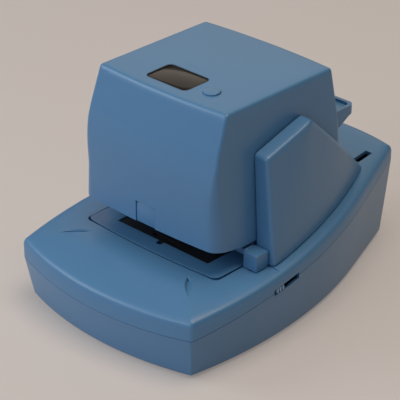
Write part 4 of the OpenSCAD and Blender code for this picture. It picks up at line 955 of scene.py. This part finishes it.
CLINCH_HALF, CLINCH_T, CLINCH_Y, DRIVER_Y = 42.1, 1.9, -63.1, -58.0
NOTCH_R, NOTCH_Y = 2.3, CLINCH_Y - 1.9
plate = loft("Table_Plate", [raised(plate_outline(grow), z) for grow, z in (
    (-1.0, PLATE_LOW), (-0.8, TABLE_H - 0.5), (0, TABLE_H - 0.25), (0, TABLE_H))])
soften(plate, 0.12, 1)
combine(plate, [
    block("opening", -CLINCH_HALF - GAP, CLINCH_HALF + GAP, CLINCH_Y, THROAT_Y - 3, *THROUGH),
    prism("notch", disc(0, NOTCH_Y, NOTCH_R, 32), *THROUGH),
    block("neck", -NOTCH_R, NOTCH_R, NOTCH_Y, CLINCH_Y + 1, *THROUGH)])
piece(plate, "base", "shell", ABS_BLUE, "table_plate")
clinch = soften(block("Clincher_Plate", -CLINCH_HALF, CLINCH_HALF, CLINCH_Y + GAP,
                      THROAT_Y - 3 - 2 * GAP, PLATE_LOW, PLATE_LOW + CLINCH_T), 0.25, 2)
combine(clinch, [block("slot", -12.5, 12.5, DRIVER_Y - 1.6, DRIVER_Y + 1.6, *THROUGH),
                 block("slot", -2.6, 2.6, -49, -39.5, *THROUGH)])
piece(clinch, "base", "black_plastic", ABS_BLACK, "clincher_plate")

# ---- paper stop and switch

STOP_Z, BAR_Z, BAR_T = TABLE_H + 0.3, TABLE_H + 8.7, 4.2
TAB_X, TAB_W = (-36, 14), 22
SLIDER_X, RIB_X, RIB_Y, RIB_REACH = HALF_W - 3, HALF_W - 2.1, 4.1, 2.3
knob = soften(block("Stop_Knob", KNOB_X + 2.2, KNOB_X + KNOB, KNOB_Y + 2.2, STOP_Y,
                    STOP_Z, STOP_Z + KNOB - 2), 0.65, 4)
combine(knob, [
    block("stem", STEM_X - 1, STEM_X + 1, STOP_Y - 2.7, STOP_Y - 1.2,
          TABLE_H - 6.2, STOP_Z + 3),
    block("foot", STEM_X - 2.4, STEM_X + 2.4, STOP_Y - 4.4, STOP_Y - 1.2,
          TABLE_H - 6.6, TABLE_H - 4.6)], "UNION")
piece(knob, "paper_stop", "shell", ABS_BLUE, "stop_knob")
bar = soften(block("Stop_Bar", TAB_X[0], KNOB_X + 3.4, KNOB_Y + 3.4, STOP_Y - 2,
                   BAR_Z, BAR_Z + BAR_T), 0.5, 3)
for x in TAB_X:
    tab = block("tab", x, x + TAB_W, KNOB_Y + 4, KNOB_Y + 6.5, STOP_Z, BAR_Z + 0.6)
    combine(bar, [soften(tab, 0.4, 2)], "UNION")
piece(bar, "paper_stop", "shell", ABS_BLUE, "stop_bar")
slider = soften(block("Slide_Knob", SLIDER_X - 4.3, SLIDER_X, 2.4, 11.2, -2, 2), 0.3, 2)
ribs = grow("ribs", rib_tree(), Spacing=2.7, Length=3.8)
ribs.data.transform(Matrix.Diagonal((RIB_REACH, 1, 1, 1)))
combine(slider, [moved(ribs, (RIB_X, RIB_Y, 0))], "UNION")
piece(on_slope(slider), "switch", "switch", ACETAL_PALE, "slide_knob")

# ---- cartridge door

NECK_HALF, NECK_Z, BOX_Y = 30, (82, 102), 41.9    # the neck joins the door to its box
door = combine(head_form("Cartridge_Door"), [head_room()])
combine(door, [door_frame(0)], "INTERSECT")
neck = block("neck", -NECK_HALF, NECK_HALF, BOX_Y, rear_at(96) - COVER + 2, *NECK_Z)
combine(door, [neck], "UNION")
PULL_Y0, PULL_Y1 = rear_at(PULL_TOP), rear_at(PULL_TOP) + PULL_REACH
PULL_DROP, PULL_RIM, TRAY = 13, 2.6, 2.2


def pull_side(name, start, half):
    """The finger pull from the side: a rim, and an underside that tapers to the door."""
    foot, low = start + PULL_DROP * math.tan(math.radians(REAR_LEAN)), PULL_TOP - PULL_DROP
    return side_prism(name, [
        (foot, low), (foot + 1, low), (PULL_Y1 - 6, PULL_TOP - 7),
        (PULL_Y1 - 1.6, PULL_TOP - 6.1), (PULL_Y1 - 0.4, PULL_TOP - 5.2),
        (PULL_Y1, PULL_TOP - 3.9), (PULL_Y1, PULL_TOP), (start, PULL_TOP)], -half, half)


pull = pull_side("Door_Pull", PULL_Y0 + 2, PULL_HALF)
combine(pull, [pull_side("middle", PULL_Y0 + 0.4, DOOR_HALF - 1)], "UNION")
combine(pull, [prism("plan", round_rect(-PULL_HALF, PULL_Y0 - 10, PULL_HALF, PULL_Y1, 5),
                     80, 150)], "INTERSECT")
combine(pull, [prism("tray", round_rect(-PULL_HALF + PULL_RIM, PULL_Y0 + 3,
                                        PULL_HALF - PULL_RIM, PULL_Y1 - PULL_RIM, 3.5),
                     PULL_TOP - TRAY, PULL_TOP + 3)])
piece(soften(pull, 0.9, 4, 40), "cartridge", "shell", ABS_BLUE)
piece(door, "cartridge", "shell", ABS_BLUE, "cartridge_door")

# ---- screws, feet, spring, staples

SCREW_Z, SOLE_Z = 6.7, 1.5               # middles of the screws' heads and of the feet
SPRING_AT, COIL_AT = (16, 30, 118), (0, 2, 91.4)
screws = grow("Housing_Screws", screw_tree(), [(x, y, SCREW_Z) for x, y in BOSSES])
piece(screws, "base", "frame_steel", STEEL_PLATED, "case_screws")
feet = grow("Feet", foot_tree(), [(x, y, SOLE_Z) for x, y in FEET])
piece(feet, "base", "rubber", RUBBER_NITRILE, "rubber_feet", angle=50)
spring = moved(grow("Return_Spring", spring_tree()), SPRING_AT)
piece(spring, "lever", "bright_steel", STEEL_GROUND, "return_spring", angle=60)
staples = moved(grow("Staple_Coil", staple_tree()), COIL_AT)
piece(staples, "cartridge", "bright_steel", STEEL_GROUND, "staple_coil")

# ---- carried-over nodes

LOOKS = {
    ABS_BLUE: "throat_wall",
    ABS_BLACK: "nose_plate switch_body inlet_socket",
    STEEL_PLATED: "left_side_plate right_side_plate top_bridge motor flap_pin",
    STEEL_GROUND: "guide_rods driver_pin lever_rollers lever_shaft cam_shaft "
                  "idler_shaft left_clincher right_clincher driver_blade",
    STEEL_DARK: "clincher_beam tie_bars driver_slide drive_lever cam_pair",
    ACETAL: "cam_gear idler_gear trigger_lever",
    BRASS_TURNED: "pinion shaft_bushes",
    PS_CHARCOAL: "cartridge_box",
    BOARD_GREEN: "circuit_board display_board",
    COPPER_ENAMEL: "transformer",
}
for look, names in LOOKS.items():
    for name in names.split():
        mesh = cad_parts[name].data
        mesh.materials.clear()
        mesh.materials.append(look)

# ---- stage, light, camera

# Seamless paper, pale warm grey and matt
PAPER = finish_of("Paper, matt, warm grey", "#cecbc8", 0.9, ior=1.45)
FLOOR = 6.0                              # metres to each side
floor = object_from("Floor", [(-FLOOR, -FLOOR, 0), (FLOOR, -FLOOR, 0), (FLOOR, FLOOR, 0),
                              (-FLOOR, FLOOR, 0)], [(0, 1, 2, 3)])
floor.data.materials.append(PAPER)
# A third of what the camera and reflections see of the paper is its own even glow, so the
# backdrop stays pale and level while the shadow still lies on it
paper = PAPER.node_tree
ends = {node.type: node for node in paper.nodes}
rays = add(paper, "ShaderNodeLightPath").outputs
seen = add(paper, "ShaderNodeMath", {0: rays["Is Camera Ray"], 1: rays["Is Glossy Ray"]},
           operation="ADD")
seen = add(paper, "ShaderNodeMath", {0: seen, 1: rays["Is Transmission Ray"]},
           operation="ADD", use_clamp=True)
third = add(paper, "ShaderNodeMath", {0: seen, 1: 0.34}, operation="MULTIPLY")
glow = add(paper, "ShaderNodeEmission", {"Color": linear("#cec4be")})
both = add(paper, "ShaderNodeMixShader", {0: third, 1: ends["BSDF_PRINCIPLED"], 2: glow})
paper.links.new(both.outputs[0], ends["OUTPUT_MATERIAL"].inputs["Surface"])


def lamp(name, at, size, power, colour):
    """A round soft lamp, aimed at the middle of the part."""
    data = bpy.data.lights.new(name, "AREA")
    data.shape = "DISK"
    data.size = size
    data.energy = power
    data.color = linear(colour)[:3]
    made = in_scene(name, data)
    made.location = at
    made.rotation_euler = (AIM - Vector(at)).to_track_quat("-Z", "Y").to_euler()


AIM = Vector((0, 0, 0.08))
lamp("Key_Left", (-1.3, -1.0, 1.1), 1.2, 11, "#f4f8ff")
lamp("Key_Front", (-0.2, -1.7, 1.1), 1.2, 8.8, "#f0f6ff")
lamp("Top", (0.32, 0.1, 1.95), 1.4, 21.5, "#ffead6")
lamp("Rear", (-1.3, 1.4, 1.1), 1.3, 2.6, "#ffeedd")
lamp("Fill", (1.0, -1.6, 0.8), 1.0, 2.0, "#a4ccff")
world = bpy.data.worlds.new("Studio")
world.use_nodes = True
sky = world.node_tree
sky.nodes.clear()
add(sky, "ShaderNodeOutputWorld", {"Surface": add(
    sky, "ShaderNodeBackground", {"Color": linear("#dfe7f4"), "Strength": 0.06})})
scene.world = world
scene.view_settings.view_transform = "Standard"

lens_data = bpy.data.cameras.new("Camera")
lens_data.sensor_width = 36.0
lens_data.lens = 174.4
lens_data.clip_end = 20.0
camera = in_scene("Camera", lens_data)
camera.location = (0.8005, -0.8554, 0.6846)
camera.rotation_euler = (math.radians(61.9), 0, math.radians(44))
scene.camera = camera
